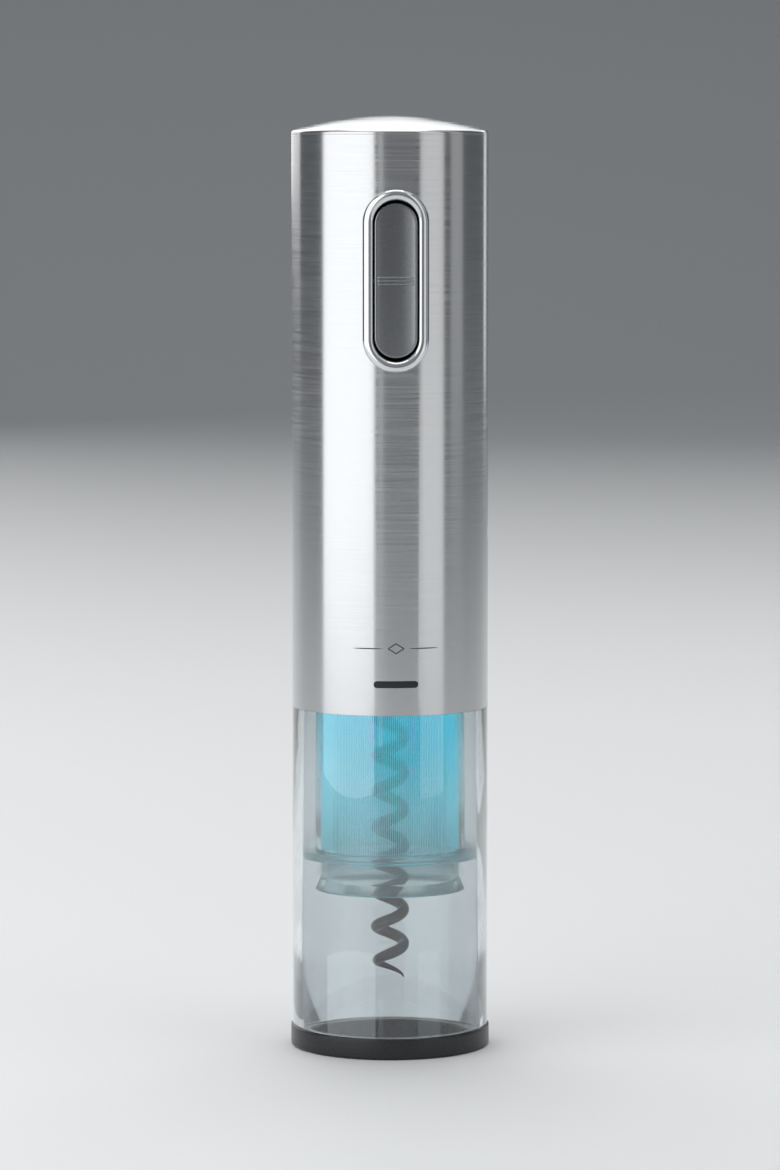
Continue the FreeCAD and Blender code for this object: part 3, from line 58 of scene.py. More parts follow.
def closedShell(points, closedRows=True, closedColumns=True):
    # a closed grid of points as (vertices, faces), with the faces turned outwards by its signed volume
    rows, columns = points.shape[:2]
    flat = points.reshape(-1, 3)
    faces = gridFaces(rows, columns, closedRows, closedColumns)
    a, b, c, d = (flat[faces[:, corner]] for corner in range(4))
    volume = np.sum(a * np.cross(b, c)) + np.sum(a * np.cross(c, d))
    return flat, faces if volume > 0 else faces[:, ::-1]


def roundedOutline(corners, arcSteps=6):
    # a closed outline from (radius, height, rounding): each corner becomes an arc that touches its two sides
    outline = []
    for number, (radius, height, rounding) in enumerate(corners):
        here = np.array([radius, height], float)
        if rounding == 0:
            outline.append(here[None])
            continue
        before = np.array(corners[number - 1][:2]) - here
        after = np.array(corners[(number + 1) % len(corners)][:2]) - here
        before, after = before / np.linalg.norm(before), after / np.linalg.norm(after)
        angle = math.acos(float(np.clip(before @ after, -1, 1)))
        towards = (before + after) / np.linalg.norm(before + after)
        centre = here + towards * rounding / math.sin(angle / 2)
        first = here + before * rounding / math.tan(angle / 2) - centre
        last = here + after * rounding / math.tan(angle / 2) - centre
        sweep = math.pi - angle
        t = np.linspace(0, 1, arcSteps + 1)[:, None]
        arc = (np.sin((1 - t) * sweep) * first + np.sin(t * sweep) * last) / math.sin(sweep)
        outline.append(centre + arc)
    return np.concatenate(outline)


def revolved(outline, steps):
    # every (radius, height) of the outline turned about Z: x = r cos a, y = r sin a, z = height
    angle = np.linspace(0, fullTurn, steps, endpoint=False)
    radius, height = outline[:, 0, None], outline[:, 1, None]
    return np.stack([radius * np.cos(angle), radius * np.sin(angle), height + 0 * angle], -1)


def stadium(halfWidth, halfStraight, t):
    # t runs once round a stadium in X and Z: 0 to 1 up the right side, 1 to 2 round the top,
    # 2 to 3 down the left side, 3 to 4 round the bottom; returns the point and its outward direction
    part, along = np.floor(t), t - np.floor(t)
    turn = np.where(part < 2, along * math.pi, math.pi + along * math.pi)
    angle = np.select([part == 0, part == 2], [0 * t, math.pi + 0 * t], turn)
    middle = np.select([part == 0, part == 1, part == 2],
                       [2 * along - 1, 1 + 0 * t, 1 - 2 * along], -1 + 0 * t) * halfStraight
    outX, outZ = np.cos(angle), np.sin(angle)
    return halfWidth * outX, middle + halfWidth * outZ, outX, outZ


def makePiece(name, shells, finish, body, replaced=(), sharpAngle=38):
    # one object from closed shells in millimetres, welded, smooth but for its sharp edges
    vertices = np.concatenate([points for points, _ in shells]) * mm
    counts = np.cumsum([0] + [len(points) for points, _ in shells[:-1]])
    faces = np.concatenate([part + start for (_, part), start in zip(shells, counts)])
    mesh = bpy.data.meshes.new(name)
    mesh.from_pydata(vertices.tolist(), [], faces.tolist())
    work = bmesh.new()
    work.from_mesh(mesh)
    bmesh.ops.remove_doubles(work, verts=work.verts, dist=1e-7)
    bmesh.ops.dissolve_degenerate(work, edges=work.edges, dist=1e-8)
    work.to_mesh(mesh)
    work.free()
    mesh.polygons.foreach_set("use_smooth", np.ones(len(mesh.polygons), bool))
    mesh.set_sharp_from_angle(angle=math.radians(sharpAngle))
    mesh.update()
    piece = bpy.data.objects.new(name, mesh)
    bpy.context.scene.collection.objects.link(piece)
    piece.data.materials.append(finishes[finish])
    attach(piece, body)
    if replaced:
        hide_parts(*replaced)
    return piece


# helpers for materials

def linear(hexColour):
    # an sRGB hex colour as linear RGBA
    part = np.array([int(hexColour[i:i + 2], 16) for i in (1, 3, 5)]) / 255
    value = np.where(part <= 0.04045, part / 12.92, ((part + 0.055) / 1.055) ** 2.4)
    return [*value.tolist(), 1.0]


def addNode(tree, kind, settings=None, inputs=None):
    # one node with its settings; each input is a value or another node's output
    made = tree.nodes.new(kind)
    for key, value in (settings or {}).items():
        setattr(made, key, value)
    for key, value in (inputs or {}).items():
        if isinstance(value, bpy.types.NodeSocket):
            tree.links.new(value, made.inputs[key])
        else:
            made.inputs[key].default_value = value
    return made


# noise that every finish shares: its values lie almost wholly between the low and the high one
noiseLook = dict(detail=4.0, roughness=0.6, low=0.3, high=0.7)
brushTurn = 0.25  # a quarter turn, so that gloss spreads across the finish lines


def makeFinish(key, spec):
    # noise of the stated grain varies the colour and the roughness and lifts a fine bump;
    # a spec with a glow entry also paints light in by height: a painted glow that blends the base colour
    # towards its tint and raises the emission
    material = bpy.data.materials.new(spec["name"])
    material.use_nodes = True
    tree = material.node_tree
    tree.nodes.clear()
    place = addNode(tree, "ShaderNodeTexCoord").outputs["Object"]
    scale = [1 / (size * mm) for size in spec["grain"]]
    stretched = addNode(tree, "ShaderNodeMapping", inputs={"Vector": place, "Scale": scale}).outputs["Vector"]
    grain = addNode(tree, "ShaderNodeTexNoise", inputs={
        "Vector": stretched, "Scale": 1.0, "Detail": spec.get("detail", noiseLook["detail"]),
        "Roughness": noiseLook["roughness"]}).outputs["Fac"]
    low, high = spec["rough"]
    rough = addNode(tree, "ShaderNodeMapRange", inputs={
        "Value": grain, "From Min": noiseLook["low"], "From Max": noiseLook["high"],
        "To Min": low, "To Max": high}).outputs["Result"]
    colour = addNode(tree, "ShaderNodeMix", {"data_type": "RGBA"}, {
        "Factor": grain, 6: linear(spec["base"]), 7: linear(spec["second"])}).outputs[2]
    bump = addNode(tree, "ShaderNodeBump", inputs={
        "Height": grain, "Distance": spec["bump"] * mm, "Strength": 1.0}).outputs["Normal"]
    shader = addNode(tree, "ShaderNodeBsdfPrincipled", inputs={
        "Roughness": rough, "Normal": bump, "Metallic": spec.get("metallic", 0.0)})
    for name, value in spec.get("extra", {}).items():
        shader.inputs[name].default_value = value
    if "turned" in spec:  # finish lines that run round Z
        lines = addNode(tree, "ShaderNodeTangent", {"direction_type": "RADIAL", "axis": "Z"})
        tree.links.new(lines.outputs["Tangent"], shader.inputs["Tangent"])
        shader.inputs["Anisotropic"].default_value = spec["turned"]
        shader.inputs["Anisotropic Rotation"].default_value = brushTurn
    # painted blue light: colour and emission rise with height in place of the lamps' light, on parts that are
    # no lamps
    if "paintedGlow" in spec:
        paintedGlow = spec["paintedGlow"]
        height = addNode(tree, "ShaderNodeSeparateXYZ", inputs={"Vector": place}).outputs["Z"]
        rise = addNode(tree, "ShaderNodeMapRange", {"interpolation_type": "SMOOTHSTEP"}, {
            "Value": height, "From Min": paintedGlow["dark"] * mm, "From Max": paintedGlow["lit"] * mm}).outputs["Result"]
        # painted glow colour: the base colour turns towards the tint with height
        colour = addNode(tree, "ShaderNodeMix", {"data_type": "RGBA"}, {
            "Factor": rise, 6: colour, 7: linear(paintedGlow["tint"])}).outputs[2]
        power = addNode(tree, "ShaderNodeMapRange", inputs={
            "Value": rise, "To Min": paintedGlow["weak"], "To Max": paintedGlow["strong"]}).outputs["Result"]
        shader.inputs["Emission Color"].default_value = linear(paintedGlow["light"])
        tree.links.new(power, shader.inputs["Emission Strength"])
    tree.links.new(colour, shader.inputs["Base Color"])
    outputs = {"Surface": shader.outputs["BSDF"]}
    if "absorb" in spec:  # the wall's own tint, which gathers where the light runs a long way inside it
        tint = spec["absorb"]
        outputs["Volume"] = addNode(tree, "ShaderNodeVolumeAbsorption", inputs={
            "Color": linear(tint["colour"]), "Density": tint["density"]}).outputs["Volume"]
    addNode(tree, "ShaderNodeOutputMaterial", inputs=outputs)
    finishes[key] = material


# finishes, one for each material slot of the record, grain sizes in millimetres
finishSpecs = {
    # 304 stainless sheet, brushed round the tube with a fine belt: crisp upright reflections, soft up and
    # down; the real lines are about 0.03 mm apart and are drawn eight times coarser so that they show
    "brushed_steel": dict(name="Brushed stainless steel", base="#BFC1C3", second="#D8D9DA", metallic=1.0,
                          rough=(0.13, 0.27), grain=(18, 18, 0.24), bump=0.0004, detail=5.0, turned=0.55),
    # die-cast zinc, nickel and chrome plated, polished: mirror bright with very faint ripple
    "chrome": dict(name="Polished chrome plate", base="#DCDEE0", second="#E6E7E9", metallic=1.0,
                   rough=(0.035, 0.07), grain=(3, 3, 3), bump=0.0008),
    # ABS with a satin vacuum-metallised coat: blurred grey reflections
    "satin_button": dict(name="Satin metallised ABS", base="#8F9194", second="#9A9C9F", metallic=1.0,
                         rough=(0.21, 0.29), grain=(0.25, 0.25, 0.25), bump=0.001),
    # black ABS moulding, fine satin texture with a soft gloss
    "black_ring": dict(name="Satin black ABS", base="#17181A", second="#222326",
                       rough=(0.24, 0.36), grain=(0.4, 0.4, 0.4), bump=0.004, extra={"IOR": 1.52}),
    # clear SAN tube, moulded: bright edges, nearly invisible walls
    "clear_tube": dict(name="Clear SAN", base="#F0F6F8", second="#F7FAFB",
                       rough=(0.0, 0.012), grain=(14, 14, 40), bump=0.0006, detail=1.0,
                       extra={"IOR": 1.57, "Transmission Weight": 1.0, "Specular IOR Level": 1.0,
                              "Coat Weight": 1.0, "Coat IOR": 1.6, "Coat Roughness": 0.02},
                       absorb=dict(colour="#7D9AA3", density=75.0)),
    # clear polycarbonate, slightly hazed inside, with a painted blue glow in its colour and emission towards
    # its upper end
    "clear_chamber": dict(name="Hazed polycarbonate, painted blue glow", base="#E3ECEE", second="#EDF2F3",
                          rough=(0.06, 0.12), grain=(6, 6, 18), bump=0.001, detail=2.0,
                          extra={"IOR": 1.5, "Transmission Weight": 0.86, "Specular IOR Level": 0.9},
                          paintedGlow=dict(dark=28, lit=94, tint="#B2E3EA", light="#5CC9D8", weak=0.0, strong=0.16)),
    # clear acrylic light guide, with a painted blue glow in its colour and emission that is strongest at the
    # top, where the lamps sit
    "lit_guide": dict(name="Acrylic guide, painted blue glow", base="#EAF6F9", second="#F0F9FA",
                      rough=(0.02, 0.05), grain=(8, 8, 20), bump=0.0006, detail=1.0,
                      extra={"IOR": 1.49, "Transmission Weight": 1.0},
                      paintedGlow=dict(dark=45, lit=92, tint="#84D4E2", light="#56CAD8", weak=0.0, strong=0.1)),
    # fluting moulded in the guide; its colour and emission are a painted blue glow, strongest at the top, in
    # place of the lamps' scattered light
    "lit_flutes": dict(name="Frosted acrylic flutes, painted blue glow", base="#D6EDF2", second="#E2F2F5",
                       rough=(0.3, 0.5), grain=(1, 1, 4), bump=0.0006,
                       paintedGlow=dict(dark=36, lit=92, tint="#4DB8CA", light="#47CFDD", weak=0.5, strong=1.05)),
    # carbon steel wire, baked PTFE coat: near black, low sheen
    "coated_worm": dict(name="PTFE coated steel", base="#1E1F21", second="#2C2D30", metallic=0.25,
                        rough=(0.26, 0.4), grain=(0.5, 0.5, 0.5), bump=0.004),
    # smoked polycarbonate lens over the lamps
    "smoked_window": dict(name="Smoked polycarbonate", base="#08090A", second="#101113",
                          rough=(0.05, 0.09), grain=(2, 2, 2), bump=0.0005, extra={"IOR": 1.58}),
    # black ABS chassis moulding, dull
    "black_plastic": dict(name="Black ABS", base="#1B1C1D", second="#262728",
                          rough=(0.42, 0.58), grain=(0.5, 0.5, 0.5), bump=0.008),
    # glass filled nylon of the gearbox, dull with a fine mottle
    "grey_nylon": dict(name="Glass filled nylon", base="#6D7072", second="#85888A",
                       rough=(0.45, 0.62), grain=(0.6, 0.6, 0.6), bump=0.01),
    # acetal gears: waxy white
    "white_acetal": dict(name="White acetal", base="#E2E0D6", second="#EDECE5",
                         rough=(0.28, 0.4), grain=(0.8, 0.8, 0.8), bump=0.003,
                         extra={"Subsurface Weight": 0.15, "Subsurface Scale": 0.0008}),
    # lathe-turned silver steel with fine rings
    "turned_steel": dict(name="Turned silver steel", base="#A9ABAE", second="#BABCBE", metallic=1.0,
                         rough=(0.18, 0.3), grain=(6, 6, 0.12), bump=0.0012, turned=0.4),
    # zinc plated screws, faintly blue
    "zinc_screws": dict(name="Bright zinc plate", base="#AEB4BC", second="#C3C7CB", metallic=1.0,
                        rough=(0.22, 0.38), grain=(0.4, 0.4, 0.4), bump=0.003),
    # sintered bronze bush: matt, porous
    "sintered_bronze": dict(name="Sintered bronze", base="#7E5A34", second="#A67C4C", metallic=1.0,
                            rough=(0.42, 0.6), grain=(0.15, 0.15, 0.15), bump=0.01),
    # machined brass pinion
    "brass": dict(name="Machined brass", base="#B8923F", second="#CDAA5A", metallic=1.0,
                  rough=(0.18, 0.3), grain=(3, 3, 0.15), bump=0.0015, turned=0.3),
    # drawn and zinc plated motor can, faint drawing lines along it
    "motor_steel": dict(name="Drawn plated steel", base="#9A9DA1", second="#B3B6B9", metallic=1.0,
                        rough=(0.24, 0.36), grain=(0.25, 0.25, 9), bump=0.0015),
    # motor end cap, glass filled nylon
    "motor_cap": dict(name="White nylon", base="#D8D5CA", second="#E4E2DA",
                      rough=(0.4, 0.55), grain=(0.6, 0.6, 0.6), bump=0.006),
    # ferrite magnet: dark, gritty
    "ferrite": dict(name="Ferrite", base="#2E2F31", second="#434446",
                    rough=(0.55, 0.75), grain=(0.2, 0.2, 0.2), bump=0.012),
    # stacked electrical steel, a line every 0.5 mm
    "laminations": dict(name="Laminated electrical steel", base="#55585C", second="#7C7F83", metallic=1.0,
                        rough=(0.32, 0.5), grain=(40, 40, 0.5), bump=0.012),
    # enamelled copper wire
    "copper": dict(name="Enamelled copper", base="#8E4526", second="#B9683A", metallic=1.0,
                   rough=(0.2, 0.34), grain=(8, 8, 0.35), bump=0.01),
    # heat-shrunk PVC sleeve of the cells
    "cell_wrap": dict(name="Shrunk PVC sleeve", base="#1F6E46", second="#2A8354",
                      rough=(0.2, 0.32), grain=(5, 5, 12), bump=0.01, extra={"IOR": 1.54}),
    # nickel plated steel strip and cell ends
    "nickel": dict(name="Nickel plate", base="#B5AFA4", second="#CBC6BC", metallic=1.0,
                   rough=(0.14, 0.26), grain=(0.8, 0.8, 0.8), bump=0.002),
    # green solder mask on glass epoxy board
    "circuit_board": dict(name="Green glass epoxy board", base="#12502F", second="#1B6A3F",
                          rough=(0.26, 0.42), grain=(0.7, 0.7, 0.7), bump=0.006, extra={"IOR": 1.55}),
    # white solder mask of the lamp board
    "white_board": dict(name="White glass epoxy board", base="#DADCDD", second="#E8E9EA",
                        rough=(0.3, 0.44), grain=(0.7, 0.7, 0.7), bump=0.004, extra={"IOR": 1.55}),
    # blue lamps in clear epoxy, lit
    "blue_lamp": dict(name="Lit blue lamp epoxy", base="#8FDDF8", second="#B5E9FB",
                      rough=(0.08, 0.14), grain=(0.6, 0.6, 0.6), bump=0.002,
                      extra={"Emission Strength": 8.0, "Emission Color": linear("#37CDE9")}),
    # indicator lamps, unlit epoxy
    "indicator_lamp": dict(name="Milky lamp epoxy", base="#C9CCC6", second="#DADCD7",
                           rough=(0.16, 0.26), grain=(0.5, 0.5, 0.5), bump=0.002),
    # moulded epoxy of the chips, matt
    "chip_black": dict(name="Chip mould compound", base="#161718", second="#242526",
                       rough=(0.5, 0.66), grain=(0.12, 0.12, 0.12), bump=0.006),
    # red acetal plungers
    "plunger_red": dict(name="Red acetal", base="#8E1C17", second="#A32A22",
                        rough=(0.3, 0.42), grain=(0.5, 0.5, 0.5), bump=0.003),
    # stamped and nickel plated socket shell
    "socket_steel": dict(name="Plated socket steel", base="#B3B6BA", second="#C8CACD", metallic=1.0,
                         rough=(0.16, 0.28), grain=(0.3, 4, 4), bump=0.0015),
    # PVC wire jackets
    "wire_red": dict(name="Red PVC", base="#A3201A", second="#B63128",
                     rough=(0.3, 0.44), grain=(0.6, 0.6, 0.6), bump=0.003, extra={"IOR": 1.53}),
    "wire_blue": dict(name="Blue PVC", base="#1C3F96", second="#2A52AE",
                      rough=(0.3, 0.44), grain=(0.6, 0.6, 0.6), bump=0.003, extra={"IOR": 1.53}),
    # laser-blackened line on the steel: matt dark oxide
    "laser_mark": dict(name="Laser blackened steel", base="#4B4D50", second="#5B5D60", metallic=0.6,
                       rough=(0.45, 0.6), grain=(0.2, 0.2, 0.2), bump=0.001),
}
finishes = {}
for key, spec in finishSpecs.items():
    makeFinish(key, spec)
for cadObject in nodes.values():
    for materialSlot in cadObject.material_slots:
        materialSlot.material = finishes[materialSlot.material.name.split(".")[0]]
print("materials made:", len(finishes))


# the corners of each turned piece are (radius, height, rounding), as roundedOutline takes them

# base ring: a black band with a groove for the tube's foot
ring = dict(inner=19.0, outer=24.4, height=5.2, floor=2.2, grooveIn=21.45, grooveOut=22.85, steps=256)
ringOutline = roundedOutline([
    (ring["inner"], 0, 0.25), (ring["outer"], 0, 0.75), (ring["outer"], ring["height"], 0.45),
    (ring["grooveOut"], ring["height"], 0.12), (ring["grooveOut"], ring["floor"], 0),
    (ring["grooveIn"], ring["floor"], 0), (ring["grooveIn"], ring["height"], 0.2),
    (ring["inner"], ring["height"], 0.6)])
makePiece("neckRing", [closedShell(revolved(ringOutline, ring["steps"]))],
          "black_ring", "housing", ["base_ring"])

# top cap: a shallow spun dome over a short straight band, with a skirt inside the steel
cap = dict(radius=24.0, low=223.5, band=224.4, top=228.0, round=0.8, domeUntil=23.0, domeRows=40,
           skirt=23.2, skirtIn=21.9, skirtLow=219.6, inside=222.4, arcSteps=10, steps=256)


def capOutline():
    # the dome is a circle through the centre's height and the band's top: z = top - R + sqrt(R^2 - r^2)
    rise = cap["top"] - cap["band"]
    sphere = (cap["radius"] ** 2 + rise ** 2) / (2 * rise)
    radius = np.linspace(0, cap["domeUntil"], cap["domeRows"])
    height = cap["top"] - sphere + np.sqrt(sphere ** 2 - radius ** 2)
    dome = [(float(r), float(z), 0) for r, z in zip(radius, height)]
    return roundedOutline(dome + [
        (cap["radius"], cap["band"], cap["round"]), (cap["radius"], cap["low"], 0.12),
        (cap["skirt"], cap["low"], 0), (cap["skirt"], cap["skirtLow"], 0.3),
        (cap["skirtIn"], cap["skirtLow"], 0.3), (cap["skirtIn"], cap["inside"], 0.5),
        (0, cap["inside"], 0)], cap["arcSteps"])


makePiece("topCap", [closedShell(revolved(capOutline(), cap["steps"]), False, True)],
          "brushed_steel", "housing", ["top_cap"])

# clear tube: straight walls with a foot in the ring and a spigot inside the steel
tube = dict(inner=21.5, foot=22.8, outer=24.0, spigot=23.25, bottom=2.25, shoulder=5.22, edge=83.98, top=97.0,
            steps=256)
tubeOutline = roundedOutline([
    (tube["inner"], tube["bottom"], 0.15), (tube["foot"], tube["bottom"], 0.15),
    (tube["foot"], tube["shoulder"], 0.05), (tube["outer"], tube["shoulder"], 0.25),
    (tube["outer"], tube["edge"], 0.05), (tube["spigot"], tube["edge"], 0.05),
    (tube["spigot"], tube["top"], 0.3), (tube["inner"], tube["top"], 0.3)])
makePiece("clearTube", [closedShell(revolved(tubeOutline, tube["steps"]))],
          "clear_tube", "housing", ["outer_tube"])

# cork chamber: thin bore, flange that seats the bottle's lip, and a flared collar below it
chamber = dict(bore=12.5, wall=14.0, seat=47.0, flange=49.0, flangeOut=21.4, collarIn=15.5, collarOut=17.0,
               bendIn=41.4, bendOut=41.9, mouth=39.0, flareIn=17.0, flareOut=18.4, top=98.0,
               topFlange=19.1, topFlangeLow=96.0, steps=224)
chamberOutline = roundedOutline([
    (chamber["bore"], chamber["seat"], 0.3), (chamber["collarIn"], chamber["seat"], 0.3),
    (chamber["collarIn"], chamber["bendIn"], 0.8), (chamber["flareIn"], chamber["mouth"], 0.2),
    (chamber["flareOut"], chamber["mouth"], 0.2), (chamber["collarOut"], chamber["bendOut"], 0.8),
    (chamber["collarOut"], chamber["seat"], 0.4), (chamber["flangeOut"], chamber["seat"], 0.3),
    (chamber["flangeOut"], chamber["flange"], 0.3), (chamber["wall"], chamber["flange"], 0.5),
    (chamber["wall"], chamber["topFlangeLow"], 0.3), (chamber["topFlange"], chamber["topFlangeLow"], 0.2),
    (chamber["topFlange"], chamber["top"], 0.2), (chamber["bore"], chamber["top"], 0.3)])
makePiece("corkChamber", [closedShell(revolved(chamberOutline, chamber["steps"]))],
          "clear_chamber", "housing", ["cork_chamber"])

# light guide: a clear sleeve, and fine flutes inside it that are thick at the lamps and fade out downwards;
# the flutes carry a painted blue glow, and their taper fades that painted glow downwards
guide = dict(inner=17.0, outer=18.5, bottom=49.05, top=95.9, steps=224,
             flutes=240, fluteRing=16.82, fluteTop=0.09, fluteBottom=0.045, fluteInset=0.3, sides=6)
guideOutline = roundedOutline([
    (guide["inner"], guide["bottom"], 0.25), (guide["outer"], guide["bottom"], 0.25),
    (guide["outer"], guide["top"], 0.2), (guide["inner"], guide["top"], 0.2)])
makePiece("lightGuide", [closedShell(revolved(guideOutline, guide["steps"]))],
          "lit_guide", "housing", ["light_guide"])


def flutes():
    # thin cones of circular section, evenly round Z; rows run down each cone and end in a point at both ends
    turn = np.linspace(0, fullTurn, guide["flutes"], endpoint=False)
    low, high = guide["bottom"] + guide["fluteInset"], guide["top"] - guide["fluteInset"]
    heights = np.array([high, high, low, low])
    radii = np.array([0, guide["fluteTop"], guide["fluteBottom"], 0])
    side = np.linspace(0, fullTurn, guide["sides"], endpoint=False)
    a, r, s = turn[:, None, None], radii[None, :, None], side[None, None, :]
    x = guide["fluteRing"] * np.cos(a) + r * np.cos(s)
    y = guide["fluteRing"] * np.sin(a) + r * np.sin(s)
    z = heights[None, :, None] + 0 * x
    return [closedShell(points, False, True) for points in np.stack([x, y, z], -1)]


makePiece("guideFlutes", flutes(), "lit_flutes", "housing")
print("ring, tube, chamber and guide made")

# worm: round wire on a right-hand helix, drawn to a point, under a turned head and shank
worm = dict(tip=17.5, pitch=8.2, helixRadius=3.35, wireRadius=1.35, pointTurns=0.75, pointShare=0.05,
            pointGrowth=0.75, end=91.6, headRadius=5.2, headLow=90.6, headHigh=96.6, shankRadius=2.5,
            shankTop=107.0, pointRows=160, rows=900, sides=28, headSteps=96)


def wormWire():
    # the helix centre is (R cos t, R sin t, tip + pitch t / 2 pi), and the section is a circle across the
    # wire, whose radius grows from the point over the first part of a turn
    lastTurn = (worm["end"] - worm["tip"]) / worm["pitch"] * fullTurn
    pointEnd = worm["pointTurns"] * fullTurn
    t = np.concatenate([[0], np.linspace(0, pointEnd, worm["pointRows"]),
                        np.linspace(pointEnd, lastTurn, worm["rows"])[1:], [lastTurn]])
    grown = np.clip(t / pointEnd, 0, 1) ** worm["pointGrowth"]
    radius = worm["wireRadius"] * (worm["pointShare"] + (1 - worm["pointShare"]) * grown)
    radius[0] = radius[-1] = 0
    centre = np.stack([worm["helixRadius"] * np.cos(t), worm["helixRadius"] * np.sin(t),
                       worm["tip"] + worm["pitch"] * t / fullTurn], -1)
    outward = np.stack([np.cos(t), np.sin(t), 0 * t], -1)
    climb = worm["pitch"] / fullTurn
    along = np.stack([-worm["helixRadius"] * np.sin(t), worm["helixRadius"] * np.cos(t), climb + 0 * t], -1)
    along /= np.linalg.norm(along, axis=1)[:, None]
    across = np.cross(along, outward)
    side = np.linspace(0, fullTurn, worm["sides"], endpoint=False)
    cosine, sine = np.cos(side)[None, :, None], np.sin(side)[None, :, None]
    section = outward[:, None] * cosine + across[:, None] * sine
    return centre[:, None] + radius[:, None, None] * section


wormHead = roundedOutline([
    (0, worm["headLow"], 0), (worm["headRadius"], worm["headLow"], 0.5),
    (worm["headRadius"], worm["headHigh"], 0.4), (worm["shankRadius"], worm["headHigh"], 0.2),
    (worm["shankRadius"], worm["shankTop"], 0.3), (0, worm["shankTop"], 0)])
wormShells = [closedShell(wormWire(), False, True),
              closedShell(revolved(wormHead, worm["headSteps"]), False, True)]
makePiece("wormScrew", wormShells, "coated_worm", "worm", ["worm"])

# switch bezel: a polished bead that wraps the body, with a step down into the well
bezel = dict(middle=188.6, bodyRadius=24.02, beadHeight=1.06, beadFullness=0.9, beadHalf=1.28, halfWidth=6.75,
             halfStraight=13.85, skirt=-1.6, skirtWall=0.5, underside=-0.02, bendSteps=25, rows=320)


def bezelRing():
    # section: half ellipse across the bead, then a straight skirt on its inner side and a flat underside;
    # path: stadium; the section's height is added to the body's radius, so y = -sqrt(radius^2 - x^2)
    bend = np.linspace(0, math.pi, bezel["bendSteps"])
    half, skirt, under = bezel["beadHalf"], bezel["skirt"], bezel["underside"]
    skirtBack = -half + bezel["skirtWall"]
    across = np.concatenate([half * np.cos(bend), [-half, skirtBack, skirtBack, half]])
    lift = np.concatenate([bezel["beadHeight"] * np.sin(bend) ** bezel["beadFullness"],
                           [skirt, skirt, under, under]])
    t = np.linspace(0, 4, bezel["rows"], endpoint=False)
    x, z, outX, outZ = stadium(bezel["halfWidth"], bezel["halfStraight"], t)
    px = x[:, None] + outX[:, None] * across[None]
    pz = z[:, None] + outZ[:, None] * across[None] + bezel["middle"]
    radius = bezel["bodyRadius"] + lift[None] + 0 * px
    return np.stack([px, -np.sqrt(radius ** 2 - px ** 2), pz], -1)


makePiece("switchBezel", [closedShell(bezelRing())], "chrome", "housing", ["switch_bezel"])

# rocker: a dished satin bar with three fine grip lines at mid height
rocker = dict(middle=188.6, halfWidth=5.15, halfStraight=13.55, face=23.5, dish=0.75, lengthDrop=0.25,
              edge=0.5, rear=20.6, lineGap=0.8, lineHalf=0.2, lineProud=0.22, lineReach=4.35, lineFade=0.25,
              lineZone=(0.44, 0.56), lineSteps=61, sideSteps=24, endSteps=40, faceRings=18, rimRings=9,
              sharpAngle=30)


def rockerBody():
    # stadiums of growing width form the face, y = -(face + dish (x/w)^2 - drop (z/h)^2) with a rounded rim,
    # then the widest one goes back as the side wall and closes on the middle line of the back
    zoneStart, zoneEnd = rocker["lineZone"]
    sideT = np.concatenate([np.linspace(0, zoneStart, rocker["sideSteps"], endpoint=False),
                            np.linspace(zoneStart, zoneEnd, rocker["lineSteps"]),
                            np.linspace(zoneEnd, 1, rocker["sideSteps"] + 1)[1:-1]])
    t = np.concatenate([sideT, np.linspace(1, 2, rocker["endSteps"], endpoint=False), sideT + 2,
                        np.linspace(3, 4, rocker["endSteps"], endpoint=False)])
    edge, flatHalf = rocker["edge"], rocker["halfWidth"] - rocker["edge"]
    rim = np.sin(np.linspace(0, math.pi / 2, rocker["rimRings"]))[1:]
    width = np.concatenate([np.linspace(0, flatHalf, rocker["faceRings"]), flatHalf + edge * rim])
    grid = [stadium(w, rocker["halfStraight"], t)[:2] for w in width]
    x = np.stack([pair[0] for pair in grid])
    z = np.stack([pair[1] for pair in grid])
    past = np.clip((width - flatHalf) / edge, 0, 1)[:, None]
    rimDrop = edge * (1 - np.sqrt(np.clip(1 - past ** 2, 0, 1)))
    length = rocker["halfStraight"] + rocker["halfWidth"]
    depth = (rocker["face"] + rocker["dish"] * (x / rocker["halfWidth"]) ** 2
             - rocker["lengthDrop"] * (z / length) ** 2)
    line = np.zeros_like(z)
    for offset in (-rocker["lineGap"], 0, rocker["lineGap"]):
        line = np.maximum(line, np.sqrt(np.clip(1 - ((z - offset) / rocker["lineHalf"]) ** 2, 0, 1)))
    inset = np.clip((rocker["lineReach"] - np.abs(x)) / rocker["lineFade"], 0, 1)
    face = np.stack([x, -(depth - rimDrop + rocker["lineProud"] * line * inset), z + rocker["middle"]], -1)
    wall = np.stack([x[-1], -rocker["rear"] + 0 * t, z[-1] + rocker["middle"]], -1)
    spineX, spineZ = stadium(0.0, rocker["halfStraight"], t)[:2]
    back = np.stack([spineX, -rocker["rear"] + 0 * t, spineZ + rocker["middle"]], -1)
    return np.concatenate([face, wall[None], back[None]])


makePiece("rockerKey", [closedShell(rockerBody(), False, True)], "satin_button", "rocker",
          ["rocker_button"], rocker["sharpAngle"])
print("worm, bezel and rocker made")

# laser mark on the steel: a plain line, a lozenge and a line
mark = dict(height=100.3, bodyRadius=24.0, proud=0.015, stroke=0.3, lineStart=3.2, lineEnd=10.6,
            lineSteps=40, lineTaper=0.5, lozengeWide=1.9, lozengeHigh=1.2, lozengeSteps=48, sunk=-0.01)


